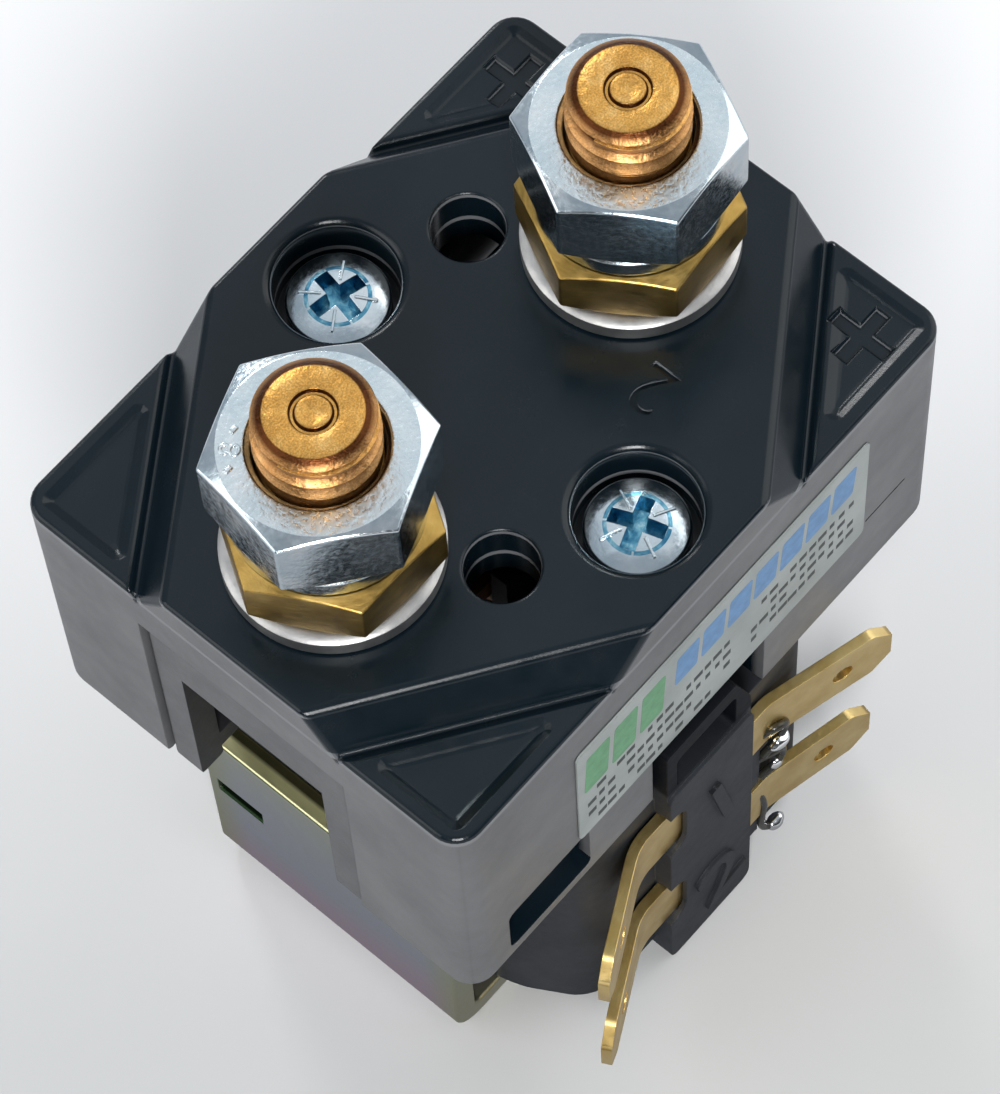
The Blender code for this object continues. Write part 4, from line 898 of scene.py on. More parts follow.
def loft(name, rows, material=None):
    """Solid through closed rows of equally many points."""
    bm = bmesh.new()
    made = [[bm.verts.new(p) for p in row] for row in rows]
    for a, b in zip(made, made[1:]):
        for i in range(len(a)):
            j = (i + 1) % len(a)
            bm.faces.new((a[i], a[j], b[j], b[i]))
    bm.faces.new(made[0])
    bm.faces.new(made[-1])
    return from_bmesh(name, bm, material)


def panel_cutter(sign_x, sign_y):
    """Shallow dish with sloping sides over one pad."""
    lead = 0.45 * MM
    levels = [
        (-PANEL_DRAFT * lead / PANEL_SINK, PAD_LEVEL + lead),
        (PANEL_DRAFT * 0.55, PAD_LEVEL - PANEL_SINK * 0.55),
        (PANEL_DRAFT * 0.8, PAD_LEVEL - PANEL_SINK * 0.86),
        (PANEL_DRAFT * 1.1, PAD_LEVEL - PANEL_SINK),
    ]
    rows = []
    for inset, z in levels:
        loop = rounded_loop(panel_triangle(sign_x, sign_y, inset), max(0.7 * MM - inset, 0.2 * MM))
        rows.append([(p.x, p.y, z) for p in loop])
    return loft("panel", rows)


def cross_outline(at, arm, half):
    """Twelve corners of a plus."""
    outline = []
    quarter = [(arm, -half), (arm, half), (half, half)]
    for _ in range(4):
        outline += [(at[0] + px, at[1] + py) for px, py in quarter]
        quarter = [(-py, px) for px, py in quarter]
    return outline


def plus_cutter(at):
    """Plus with bevelled edges, sunk into a panel's floor."""
    floor = PAD_LEVEL - PANEL_SINK
    levels = (
        (0.24 * MM, floor + 0.5 * MM),
        (0.16 * MM, floor),
        (0.0, floor - 0.16 * MM),
        (0.0, floor - MARK_DEPTH),
    )
    rows = []
    for spread, z in levels:
        outline = cross_outline(at, PLUS_ARM + spread, PLUS_WIDTH / 2 + spread)
        rows.append([(px, py, z) for px, py in outline])
    return loft("plus", rows)


def flared_bore(radius, floor, mouth, flare, at, below=None, small=0.0):
    """Hole cutter whose mouth opens in a rounded flare."""
    lead = 0.3 * MM
    profile = [(0.0, mouth + lead), (radius + flare + 2 * lead, mouth + lead)]
    for k in range(7):
        a = math.pi / 2 * k / 6
        lift = 0.015 * MM if k == 0 else 0.0
        profile.append((radius + flare * (1 - math.sin(a)), mouth + lift - flare * (1 - math.cos(a))))
    profile.append((radius, floor))
    if below is not None:
        profile += [(small, floor), (small, below), (0.0, below)]
    else:
        profile.append((0.0, floor))
    return lathe("bore", profile, at=at)


def digit_solid(text, size, thick):
    """A plain digit lying flat at the origin, its underside at zero."""
    curve = bpy.data.curves.new("digit", "FONT")
    curve.body = text
    curve.size = size
    curve.extrude = thick / 2
    curve.align_x = "CENTER"
    curve.align_y = "CENTER"
    curve.resolution_u = 5
    holder = bpy.data.objects.new("digit", curve)
    bpy.context.scene.collection.objects.link(holder)
    graph = bpy.context.evaluated_depsgraph_get()
    mesh = bpy.data.meshes.new_from_object(holder.evaluated_get(graph))
    bpy.data.objects.remove(holder)
    mesh.transform(Matrix.Translation((0.0, 0.0, thick / 2)))
    return mesh


def place_digit(mesh, matrix, material=None):
    bm = bmesh.new()
    bm.from_mesh(mesh)
    bmesh.ops.transform(bm, matrix=matrix, verts=bm.verts)
    return from_bmesh("digit", bm, material)


def make_cover():
    x, y = COVER_HALF_X, COVER_HALF_Y
    cover = plate(
        "cover_moulding",
        [(-x, -y), (x, -y), (x, y), (-x, y)],
        COVER_FOOT,
        COVER_TOP,
        BLACK,
        COVER_CORNER,
    )
    corners = [(1, 1), (-1, 1), (-1, -1), (1, -1)]
    for sx, sy in corners:
        cut(cover, corner_relief(sx, sy))
    round_edges(cover, COVER_EDGE, 4, 25.0)
    for sx, sy in corners:
        cut(cover, panel_cutter(sx, sy))
    ix, iy = x - COVER_WALL, y - COVER_WALL
    roof = COVER_TOP - COVER_ROOF
    inside = [(-ix, -iy), (ix, -iy), (ix, iy), (-ix, iy)]
    hollow = plate("inside", inside, COVER_FOOT - 2 * MM, roof, fillet=1.2 * MM)
    for side in (-1, 1):
        high = roof + MM
        column = [(0.0, COLUMN_FOOT), (COLUMN_RADIUS, COLUMN_FOOT), (COLUMN_RADIUS, high), (0.0, high)]
        cut(hollow, lathe("column", column, at=(0.0, side * SCREW_Y), steps=48))
    cut(cover, hollow)
    for side in (-1, 1):
        x0, x1 = sorted((side * (ix - MM), side * (x + MM)))
        cut(
            cover,
            block("window", (x0, -WINDOW_HALF_Y, COVER_FOOT - MM), (x1, WINDOW_HALF_Y, WINDOW_TOP)),
        )
    cut(
        cover,
        block("notch", (-NOTCH_HALF_X, -y - MM, COVER_FOOT - MM), (NOTCH_HALF_X, -iy + MM, NOTCH_TOP)),
    )
    x0, x1, z0, z1 = SIDE_SLOT
    cut(cover, block("slot", (x0, -y - MM, z0), (x1, -iy + MM, z1), edge=0.6 * MM))
    (x0, x1), (z0, z1) = SEAM_X, SEAM_Z
    cut(cover, block("seam", (x0, -y - MM, z0), (x1, SEAM_DEPTH - y, z1)))
    for side in (-1, 1):
        cut(cover, plus_cutter((PLUS_AT[0], side * PLUS_AT[1])))
    for text, sign in (("2", 1), ("1", -1)):
        turn = Matrix.Rotation(sign * math.radians(90), 4, "Z")
        spot = Matrix.Translation((sign * DIGIT_AT[0], sign * DIGIT_AT[1], COVER_TOP - MARK_DEPTH))
        cut(cover, place_digit(digit_solid(text, DIGIT_SIZE, MM), spot @ turn))
    for side in (-1, 1):
        at = (side * VENT_AT[0], side * VENT_AT[1])
        vent = flared_bore(VENT_RADIUS, roof - MM, COVER_TOP, 0.25 * MM, at)
        cut(cover, vent, solver="MANIFOLD")
        passage = flared_bore(STUD_HOLE, roof - MM, COVER_TOP, 0.2 * MM, (side * STUD_X, 0.0))
        cut(cover, passage, solver="MANIFOLD")
        seat = COVER_TOP - COUNTERBORE_DEPTH
        at = (0.0, side * SCREW_Y)
        counterbore = flared_bore(
            COUNTERBORE_RADIUS,
            seat,
            COVER_TOP,
            0.7 * MM,
            at,
            COVER_FOOT,
            SCREW_HOLE,
        )
        cut(cover, counterbore, solver="MANIFOLD")
    settle(cover, 38.0)
    dress(cover, "housing", "black_moulding", "cover")
    clear_cutters()


# Sheet metal


def folded(name, corners, sheet, half_y, radius, material, steps=8):
    """Sheet folded along Y round square corners; each is (x, z, inward x, inward z)."""
    outer = []
    inner = []
    for x, z, in_x, in_z in corners:
        if in_x == 0 or in_z == 0:
            outer.append((x, z))
            inner.append((x + in_x * sheet, z))
            continue
        centre = (x + in_x * radius, z + in_z * radius)
        first = math.atan2(0.0, -in_x)
        last = math.atan2(-in_z, 0.0)
        if outer[-1][0] != x:
            first, last = last, first
        while last - first > math.pi:
            last -= 2 * math.pi
        while first - last > math.pi:
            last += 2 * math.pi
        for k in range(steps + 1):
            a = first + (last - first) * k / steps
            outer.append((centre[0] + radius * math.cos(a), centre[1] + radius * math.sin(a)))
            small = radius - sheet
            inner.append((centre[0] + small * math.cos(a), centre[1] + small * math.sin(a)))
    outline = outer + inner[::-1]
    return loft(name, [[(x, y, z) for x, z in outline] for y in (-half_y, half_y)], material)


def make_frame():
    """Steel U with fixing holes and a short slot in each leg."""
    low, high = (Vector(p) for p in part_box("steel_frame"))
    x, y, top = high.x, high.y, high.z
    corners = [(-x, top, 1, 0), (-x, 0.0, 1, 1), (x, 0.0, -1, 1), (x, top, -1, 0)]
    frame_piece = folded("frame_sheet", corners, FRAME_SHEET, y, FRAME_BEND, STEEL)
    for side in (-1, 1):
        radius = FIXING_HOLE_RADIUS
        hole = [(0.0, -MM), (radius, -MM), (radius, 3 * MM), (0.0, 3 * MM)]
        cut(frame_piece, lathe("hole", hole, at=(side * (x - FIXING_HOLE_INSET), 0.0), steps=48))
        x0, x1 = sorted((side * (x + MM), side * (x - 2 * FRAME_SHEET)))
        middle = -side * LEG_SLOT_Y
        low = (x0, middle - LEG_SLOT_REACH, LEG_SLOT_Z - LEG_SLOT_HALF)
        high = (x1, middle + LEG_SLOT_REACH, LEG_SLOT_Z + LEG_SLOT_HALF)
        cut(frame_piece, block("slot", low, high))
    round_edges(frame_piece, 0.22 * MM, 3, 40.0)
    settle(frame_piece, 45.0)
    dress(frame_piece, "housing", "passivated_steel", "steel_frame")
    clear_cutters()


def make_yoke():
    """Upper magnet plate with a flange down inside each leg."""
    low, high = (Vector(p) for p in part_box("yoke_plate"))
    x, foot, top = high.x, low.z, high.z
    corners = [(-x, foot, 1, 0), (-x, top, 1, -1), (x, top, -1, -1), (x, foot, -1, 0)]
    yoke = folded("yoke_sheet", corners, YOKE_SHEET, FRAME_HALF_Y, YOKE_BEND, YOKE)
    tab = x - 2 * YOKE_BEND
    outline = [(-tab, low.y), (tab, low.y), (tab, high.y), (-tab, high.y)]
    cut(yoke, plate("tab", outline, top - YOKE_SHEET, top, fillet=1.5 * MM), "UNION")
    low_z, high_z = YOKE_BORE_Z
    radius = POLE_HOLE_RADIUS
    cut(yoke, lathe("bore", [(0, low_z), (radius, low_z), (radius, high_z), (0, high_z)]))
    for side in (-1, 1):
        radius = YOKE_SCREW_RADIUS
        hole = [(0.0, low_z), (radius, low_z), (radius, high_z), (0.0, high_z)]
        cut(yoke, lathe("hole", hole, at=(0.0, side * SCREW_Y), steps=48))
    round_edges(yoke, 0.12 * MM, 2, 40.0)
    settle(yoke, 45.0)
    dress(yoke, "housing", "passivated_steel", "yoke_plate")
    clear_cutters()


# Coil body and its terminals


def upright(name, outline, y0, y1, material=None, fillet=0.0, steps=5):
    """Solid on an outline of (x, z) points, from y0 back to y1."""
    bm = bmesh.new()
    front = bm.faces.new([bm.verts.new((x, y0, z)) for x, z in outline])
    back = bmesh.ops.extrude_face_region(bm, geom=[front])["geom"]
    moved = [v for v in back if isinstance(v, bmesh.types.BMVert)]
    bmesh.ops.translate(bm, vec=(0, y1 - y0, 0), verts=moved)
    if fillet > 0.0:
        edges = [e for e in bm.edges if abs(e.verts[0].co.y - e.verts[1].co.y) > 1e-6]
        bmesh.ops.bevel(bm, geom=edges, offset=fillet, segments=steps, profile=0.5, affect="EDGES")
    return from_bmesh(name, bm, material)


def frame_box(x0, x1, z0, z1):
    return [(x0, z0), (x1, z0), (x1, z1), (x0, z1)]


def make_coil_body():
    """Moulding round the coil: terminal block, heel with a pocket, rib and plain digits."""
    x, y, fx, cy = COIL_HALF_X, COIL_HALF_Y, COIL_FLAT_HALF_X, COIL_CORNER_Y
    outline = [(-x, -cy), (-fx, -y), (fx, -y), (x, -cy), (x, cy), (fx, y), (-fx, y), (-x, cy)]
    body = plate("coil_moulding", outline, COIL_FOOT, COIL_TOP, CHARCOAL, COIL_FILLET)
    front = -BLOCK_FRONT_Y
    back = 1.8 * MM - y
    ends = (-BLOCK_LEFT_X, BLOCK_RIGHT_X)
    cut(
        body,
        upright("block", frame_box(*ends, BLOCK_FOOT, BLOCK_TOP), front, back, fillet=0.9 * MM),
        "UNION",
    )
    top = HEEL_TOP
    heel = [
        (ends[0], COIL_TOP - 4 * MM),
        (ends[1], COIL_TOP - 4 * MM),
        (ends[1], top - 4.6 * MM),
        (ends[1] - 1.7 * MM, top),
        (ends[0], top),
    ]
    cut(body, upright("heel", heel, -HEEL_FRONT_Y, -16.5 * MM, fillet=0.35 * MM), "UNION")
    cut(
        body,
        upright(
            "rib",
            frame_box(ends[1] - 0.4 * MM, RIB_X, 4.5 * MM, 21.5 * MM),
            0.2 * MM - 19.1 * MM,
            back,
        ),
        "UNION",
    )
    round_edges(body, 0.3 * MM, 3, 40.0)
    pocket = frame_box(-4.0 * MM, 2.2 * MM, BLOCK_TOP + 0.35 * MM, top - 2.0 * MM)
    cut(body, upright("pocket", pocket, -HEEL_FRONT_Y - MM, 1.6 * MM - HEEL_FRONT_Y, fillet=0.6 * MM))
    bore = COIL_BORE
    cut(body, lathe("bore", [(0.0, MM), (bore, MM), (bore, COIL_TOP + MM), (0.0, COIL_TOP + MM)]))
    half = SPADE_WIDTH / 2
    for z in SPADE_LEVELS:
        slot = frame_box(-2 * BLOCK_LEFT_X, 2 * BLOCK_LEFT_X, z - half - 0.1 * MM, z + half + 0.1 * MM)
        cut(
            body,
            upright("slot", slot, -SPADE_PLANE_Y - 0.5 * MM, 0.5 * MM - SPADE_PLANE_Y),
            solver="MANIFOLD",
        )
        seen = frame_box(
            -BLOCK_LEFT_X - 2 * MM,
            -BLOCK_LEFT_X + 1.7 * MM,
            z - half - 0.4 * MM,
            z + half + 0.4 * MM,
        )
        cut(
            body,
            upright("root", seen, -BLOCK_FRONT_Y - MM, -SPADE_PLANE_Y, fillet=1.6 * MM, steps=8),
            solver="MANIFOLD",
        )
    stand = Matrix.Rotation(math.radians(90), 4, "X")
    for text, z in (("1", SPADE_LEVELS[0] - 2.6 * MM), ("2", SPADE_LEVELS[1] - 3.6 * MM)):
        spot = Matrix.Translation((0.35 * MM, 0.04 * MM - BLOCK_FRONT_Y, z))
        turn = Matrix.Rotation(math.radians(-12), 4, "Y")
        cut(
            body,
            place_digit(digit_solid(text, 10.5 * MM, 0.36 * MM), spot @ turn @ stand),
            "UNION",
            solver="MANIFOLD",
        )
    settle(body, 38.0)
    dress(body, "housing", "coil_moulding", "coil_body")
    clear_cutters()


def strip_path(bend, reach, splay, side, count=26):
    """Centre line of one half of a terminal strip: (along, x, y, angle) at each step."""
    spread = LEFT_FOLD if side < 0 else RIGHT_FOLD
    points = []
    x = y = 0.0
    total = bend + reach
    stops = [0.0, bend - spread]
    stops += [bend - spread + 2 * spread * k / 10 for k in range(1, 11)]
    stops += [bend + spread + (reach - spread) * k / count for k in range(1, count + 1)]
    last = 0.0
    for s in stops:
        middle = (s + last) / 2
        share = min(max((middle - bend + spread) / (2 * spread), 0.0), 1.0)
        angle = math.radians(splay) * share
        x += (s - last) * math.cos(angle)
        y -= (s - last) * math.sin(angle)
        points.append((total - s, side * x, y, angle))
        last = s
    return points


def make_terminal(name, level):
    """One strip with a rounded spade at each end and a hole near each tip."""
    z = SPADE_LEVELS[level]
    right_reach, right_splay = RIGHT_SPADE[level]
    left = strip_path(LEFT_BEND_X, LEFT_REACH, LEFT_SPLAY, -1)
    right = strip_path(RIGHT_BEND_X, right_reach, right_splay, 1)
    rows = []
    for side, path in ((-1, left[::-1]), (1, right[1:])):
        for to_tip, x, y, angle in path:
            half = SPADE_WIDTH / 2
            if to_tip < TIP_TAPER:
                half -= (TIP_TAPER - to_tip) * TIP_SLOPE
            nx, ny = -side * math.sin(angle) * SPADE_THICK / 2, -math.cos(angle) * SPADE_THICK / 2
            fx, fy = x + nx, y + ny - SPADE_PLANE_Y
            bx, by = x - nx, y - ny - SPADE_PLANE_Y
            rows.append([(fx, fy, z - half), (fx, fy, z + half), (bx, by, z + half), (bx, by, z - half)])
    strip = loft(name + "_strip", rows, SPADE)
    for side, bend, reach, splay in (
        (-1, LEFT_BEND_X, LEFT_REACH, LEFT_SPLAY),
        (1, RIGHT_BEND_X, right_reach, right_splay),
    ):
        along = reach - 4.2 * MM
        angle = math.radians(splay)
        centre = (side * (bend + along * math.cos(angle)), -SPADE_PLANE_Y - along * math.sin(angle), z)
        bm = bmesh.new()
        bmesh.ops.create_cone(
            bm,
            cap_ends=True,
            segments=32,
            radius1=0.85 * MM,
            radius2=0.85 * MM,
            depth=4 * MM,
        )
        way = Matrix.Rotation(side * -angle, 4, "Z") @ Matrix.Rotation(math.radians(90), 4, "X")
        bmesh.ops.transform(bm, matrix=Matrix.Translation(centre) @ way, verts=bm.verts)
        cut(strip, from_bmesh("drill", bm))
    round_edges(strip, 0.16 * MM, 3, 50.0)
    settle(strip, 50.0)
    dress(strip, "housing", "spade_brass", name)
    clear_cutters()


def tube(name, points, radius, material):
    """Round wire along a smooth curve through the points."""
    curve = bpy.data.curves.new(name, "CURVE")
    curve.dimensions = "3D"
    curve.bevel_depth = radius
    curve.bevel_resolution = 3
    curve.use_fill_caps = True
    curve.resolution_u = 8
    spline = curve.splines.new("BEZIER")
    spline.bezier_points.add(len(points) - 1)
    for knot, p in zip(spline.bezier_points, points):
        knot.co = p
        knot.handle_left_type = knot.handle_right_type = "AUTO"
    holder = bpy.data.objects.new(name, curve)
    bpy.context.scene.collection.objects.link(holder)
    graph = bpy.context.evaluated_depsgraph_get()
    bm = bmesh.new()
    bm.from_mesh(holder.evaluated_get(graph).to_mesh())
    bpy.data.objects.remove(holder)
    return from_bmesh(name, bm, material)


def make_solder():
    """Winding leads beside the rib, with the solder that holds them to the spades."""
    leads = []
    for number, path in enumerate(LEADS):
        points = [tuple(c * MM for c in p) for p in path]
        leads.append(settle(tube(f"lead_{number}", points, 0.34 * MM, ENAMEL), 60.0, weighted=False))
    for number, (x, y, z, wide, tall) in enumerate(SOLDER_BLOBS):
        bm = bmesh.new()
        bmesh.ops.create_icosphere(bm, subdivisions=4, radius=1.0)
        for v in bm.verts:
            swell = 1.0 + 0.10 * math.sin(5.0 * v.co.x + number) * math.cos(4.0 * v.co.z)
            v.co = Vector((v.co.x * wide * swell, v.co.y * 0.7 * wide, v.co.z * tall * swell))
        bmesh.ops.translate(bm, vec=(x, y, z), verts=bm.verts)
        blob = from_bmesh(f"solder_{number}", bm, TIN)
        leads.append(settle(blob, 180.0, weighted=False))
    joined = merge(*leads)
    dress(joined, "housing", "enamelled_copper")


# Things that repeat, grown by node trees


def new_tree(name, inputs):
    """Node tree with named inputs and one mesh output."""
    tree = bpy.data.node_groups.new(name, "GeometryNodeTree")
    kinds = {float: "NodeSocketFloat", int: "NodeSocketInt", str: "NodeSocketMaterial"}
    for label, kind in inputs:
        tree.interface.new_socket(label, in_out="INPUT", socket_type=kinds[kind])
    tree.interface.new_socket("Mesh", in_out="OUTPUT", socket_type="NodeSocketGeometry")
    return tree, tree.nodes.new("NodeGroupInput"), tree.nodes.new("NodeGroupOutput")


def join(tree, *pairs):
    for source, target in pairs:
        tree.links.new(source, target)


def close_tree(tree, given, out, geometry):
    """Every tree ends in real geometry with its material."""
    real = tree.nodes.new("GeometryNodeRealizeInstances")
    paint = tree.nodes.new("GeometryNodeSetMaterial")
    join(
        tree,
        (geometry, real.inputs[0]),
        (real.outputs[0], paint.inputs["Geometry"]),
        (given.outputs["Material"], paint.inputs["Material"]),
        (paint.outputs[0], out.inputs[0]),
    )


def thread_tree():
    """Helical thread: a diamond swept along a spiral, fading out at both ends."""
    inputs = [("Radius", float), ("Pitch", float), ("Turns", float), ("Foot", float), ("Place X", float)]
    tree, given, out = new_tree("helical_thread", inputs + [("Material", str)])
    spiral = tree.nodes.new("GeometryNodeCurveSpiral")
    spiral.inputs["Resolution"].default_value = 72
    tall = tree.nodes.new("ShaderNodeMath")
    tall.operation = "MULTIPLY"
    half = tree.nodes.new("ShaderNodeMath")
    half.operation = "DIVIDE"
    half.inputs[1].default_value = 2.0
    core = tree.nodes.new("ShaderNodeMath")
    core.operation = "SUBTRACT"
    where = tree.nodes.new("GeometryNodeSplineParameter")
    fade = tree.nodes.new("ShaderNodeMapRange")
    fade.inputs["From Min"].default_value = 1.0
    fade.inputs["From Max"].default_value = 0.975
    fade.inputs["To Min"].default_value = 0.4
    fade.inputs["To Max"].default_value = 1.0
    thin = tree.nodes.new("GeometryNodeSetCurveRadius")
    section = tree.nodes.new("GeometryNodeCurvePrimitiveCircle")
    section.inputs["Resolution"].default_value = 4
    sweep = tree.nodes.new("GeometryNodeCurveToMesh")
    sweep.inputs["Fill Caps"].default_value = True
    spot = tree.nodes.new("ShaderNodeCombineXYZ")
    move = tree.nodes.new("GeometryNodeTransform")
    join(
        tree,
        (given.outputs["Pitch"], tall.inputs[0]),
        (given.outputs["Turns"], tall.inputs[1]),
        (given.outputs["Pitch"], half.inputs[0]),
        (given.outputs["Radius"], core.inputs[0]),
        (half.outputs[0], core.inputs[1]),
        (given.outputs["Turns"], spiral.inputs["Rotations"]),
        (core.outputs[0], spiral.inputs["Start Radius"]),
        (core.outputs[0], spiral.inputs["End Radius"]),
        (tall.outputs[0], spiral.inputs["Height"]),
        (half.outputs[0], section.inputs["Radius"]),
        (spiral.outputs[0], thin.inputs["Curve"]),
        (where.outputs["Factor"], fade.inputs["Value"]),
        (fade.outputs[0], thin.inputs["Radius"]),
        (thin.outputs[0], sweep.inputs["Curve"]),
        (section.outputs["Curve"], sweep.inputs["Profile Curve"]),
        (given.outputs["Place X"], spot.inputs[0]),
        (given.outputs["Foot"], spot.inputs[2]),
        (sweep.outputs[0], move.inputs["Geometry"]),
        (spot.outputs[0], move.inputs["Translation"]),
    )
    close_tree(tree, given, out, move.outputs[0])
    return tree


def rows_tree():
    """Rows of short printed bars of uneven length, some left out."""
    inputs = [("Length", float), ("Height", float), ("Bars", int), ("Rows", int)]
    inputs += [("Bar", float), ("Line", float), ("Kept", float), ("Seed", int), ("Material", str)]
    tree, given, out = new_tree("printed_rows", inputs)
    grid = tree.nodes.new("GeometryNodeMeshGrid")
    keep = tree.nodes.new("FunctionNodeRandomValue")
    keep.data_type = "BOOLEAN"
    put = tree.nodes.new("GeometryNodeInstanceOnPoints")
    bar = tree.nodes.new("GeometryNodeMeshCube")
    size = tree.nodes.new("ShaderNodeCombineXYZ")
    size.inputs[2].default_value = 0.02 * MM
    wide = tree.nodes.new("FunctionNodeRandomValue")
    wide.data_type = "FLOAT"
    wide.inputs[2].default_value = 0.55
    wide.inputs[3].default_value = 1.25
    scale = tree.nodes.new("ShaderNodeCombineXYZ")
    scale.inputs[1].default_value = 1.0
    scale.inputs[2].default_value = 1.0
    join(
        tree,
        (given.outputs["Length"], grid.inputs["Size X"]),
        (given.outputs["Height"], grid.inputs["Size Y"]),
        (given.outputs["Bars"], grid.inputs["Vertices X"]),
        (given.outputs["Rows"], grid.inputs["Vertices Y"]),
        (given.outputs["Bar"], size.inputs[0]),
        (given.outputs["Line"], size.inputs[1]),
        (size.outputs[0], bar.inputs["Size"]),
        (grid.outputs["Mesh"], put.inputs["Points"]),
        (given.outputs["Kept"], keep.inputs["Probability"]),
        (given.outputs["Seed"], keep.inputs["Seed"]),
        (given.outputs["Seed"], wide.inputs["Seed"]),
        (keep.outputs[3], put.inputs["Selection"]),
        (bar.outputs["Mesh"], put.inputs["Instance"]),
        (wide.outputs[1], scale.inputs[0]),
        (scale.outputs[0], put.inputs["Scale"]),
    )
    close_tree(tree, given, out, put.outputs[0])
    return tree


def grow(name, tree, values):
    """Run a node tree on an empty object and keep the mesh it makes."""
    obj = link(name, bpy.data.meshes.new(name))
    mod = obj.modifiers.new("grow", "NODES")
    mod.node_group = tree
    for item in tree.interface.items_tree:
        if item.in_out == "INPUT" and item.name in values:
            mod[item.identifier] = values[item.name]
    graph = bpy.context.evaluated_depsgraph_get()
    mesh = bpy.data.meshes.new_from_object(obj.evaluated_get(graph), depsgraph=graph)
    obj.modifiers.clear()
    old = obj.data
    obj.data = mesh
    bpy.data.meshes.remove(old)
    return obj


def merge(first, *others):
    """Put other finished pieces into the first one's mesh, with their materials."""
    bm = bmesh.new()
    materials = []
    for obj in (first, *others):
        lookup = []
        for material in obj.data.materials:
            if material not in materials:
                materials.append(material)
            lookup.append(materials.index(material))
        start = len(bm.faces)
        bm.from_mesh(obj.data)
        bm.faces.ensure_lookup_table()
        for face in bm.faces[start:]:
            face.material_index = lookup[min(face.material_index, len(lookup) - 1)] if lookup else 0
    first.data.materials.clear()
    for material in materials:
        first.data.materials.append(material)
    bm.to_mesh(first.data)
    bm.free()
    for obj in others:
        bpy.data.objects.remove(obj, do_unlink=True)
    return first


# Studs and what is stacked on them


def make_stud(index, thread):
    """Threaded stud with a ring groove and dimple in its end, on a square head."""
    x = STUD_X * (-1 if index == 1 else 1)
    low, high = (Vector(p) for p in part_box(f"main_stud_{index}"))
    top = high.z
    core = STUD_RADIUS - THREAD_PITCH / 2
    groove = 1.33 * MM
    profile = [
        (0.0, top - 0.16 * MM),
        (0.35 * MM, top - 0.13 * MM),
        (0.8 * MM, top - 0.02 * MM),
        (1.0 * MM, top),
        (groove - 0.2 * MM, top - 0.06 * MM),
        (groove - 0.08 * MM, top - 0.3 * MM),
        (groove + 0.08 * MM, top - 0.3 * MM),
        (groove + 0.2 * MM, top - 0.06 * MM),
        (1.7 * MM, top),
        (3.05 * MM, top),
        (3.18 * MM, top - 0.07 * MM),
        (3.78 * MM, top - 0.42 * MM),
        (3.84 * MM, top - 0.52 * MM),
        (3.76 * MM, top - 0.64 * MM),
        (core, top - 0.95 * MM),
        (core, STUD_HEAD_TOP - 0.4 * MM),
        (0.0, STUD_HEAD_TOP - 0.4 * MM),
    ]
    shank = lathe(f"stud_shank_{index}", profile, at=(x, 0.0), steps=96, material=COPPER)
    settle(shank, 32.0, weighted=False)
    head = block(
        f"stud_head_{index}",
        (x - 5.6 * MM, -5.6 * MM, low.z),
        (x + 5.6 * MM, 5.6 * MM, STUD_HEAD_TOP),
        COPPER,
        edge=0.35 * MM,
    )
    settle(head, 35.0)
    foot = STUD_HEAD_TOP + 0.9 * MM
    turns = (top - 1.0 * MM - foot) / THREAD_PITCH
    values = {
        "Radius": STUD_RADIUS,
        "Pitch": THREAD_PITCH,
        "Turns": turns,
        "Foot": foot,
        "Place X": x,
        "Material": COPPER,
    }
    ridge = grow(f"stud_thread_{index}", thread, values)
    settle(ridge, 50.0, weighted=False)
    stud = merge(shank, head, ridge)
    dress(stud, "housing", "stud_copper", f"main_stud_{index}")


def hex_nut(name, index, turn, material, top_material):
    """Hexagon nut with chamfered corners and a countersunk bore."""
    low, high = (Vector(p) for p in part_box(f"{name}_{index}"))
    x = STUD_X * (-1 if index == 1 else 1)
    foot, top = low.z, high.z
    corner = NUT_ACROSS_FLATS / math.sqrt(3)
    outline = []
    for k in range(6):
        a = math.radians(turn + 30 + 60 * k)
        outline.append((x + corner * math.cos(a), corner * math.sin(a)))
    piece = plate(f"{name}_{index}_solid", outline, foot, top, material)
    wide = corner + 0.6 * MM
    slope = math.tan(math.radians(NUT_CHAMFER_SLOPE))
    fall = (wide - NUT_CHAMFER_RADIUS) * slope
    past = 0.1 * MM
    flat = NUT_CHAMFER_RADIUS - past / slope
    lens = [
        (0.0, top + past),
        (flat, top + past),
        (wide, top - fall),
        (wide, foot + fall),
        (flat, foot - past),
        (0.0, foot - past),
    ]
    cut(piece, lathe("lens", lens, at=(x, 0.0), steps=144), "INTERSECT")
    inner = STUD_RADIUS + 0.1 * MM
    flare = NUT_BORE_FLARE
    bore = [
        (0.0, top + MM),
        (inner + flare + MM, top + MM),
        (inner, top - flare),
        (inner, foot + flare),
        (inner + flare + MM, foot - MM),
        (0.0, foot - MM),
    ]
    cut(piece, lathe("bore", bore, at=(x, 0.0), steps=96))
    round_edges(piece, 0.14 * MM, 2, 24.0)
    settle(piece, 35.0)
    piece.data.materials.append(top_material)
    for poly in piece.data.polygons:
        if poly.normal.z > 0.97 and poly.center.z > top - 0.3 * MM:
            poly.material_index = 1
    clear_cutters()
    return piece


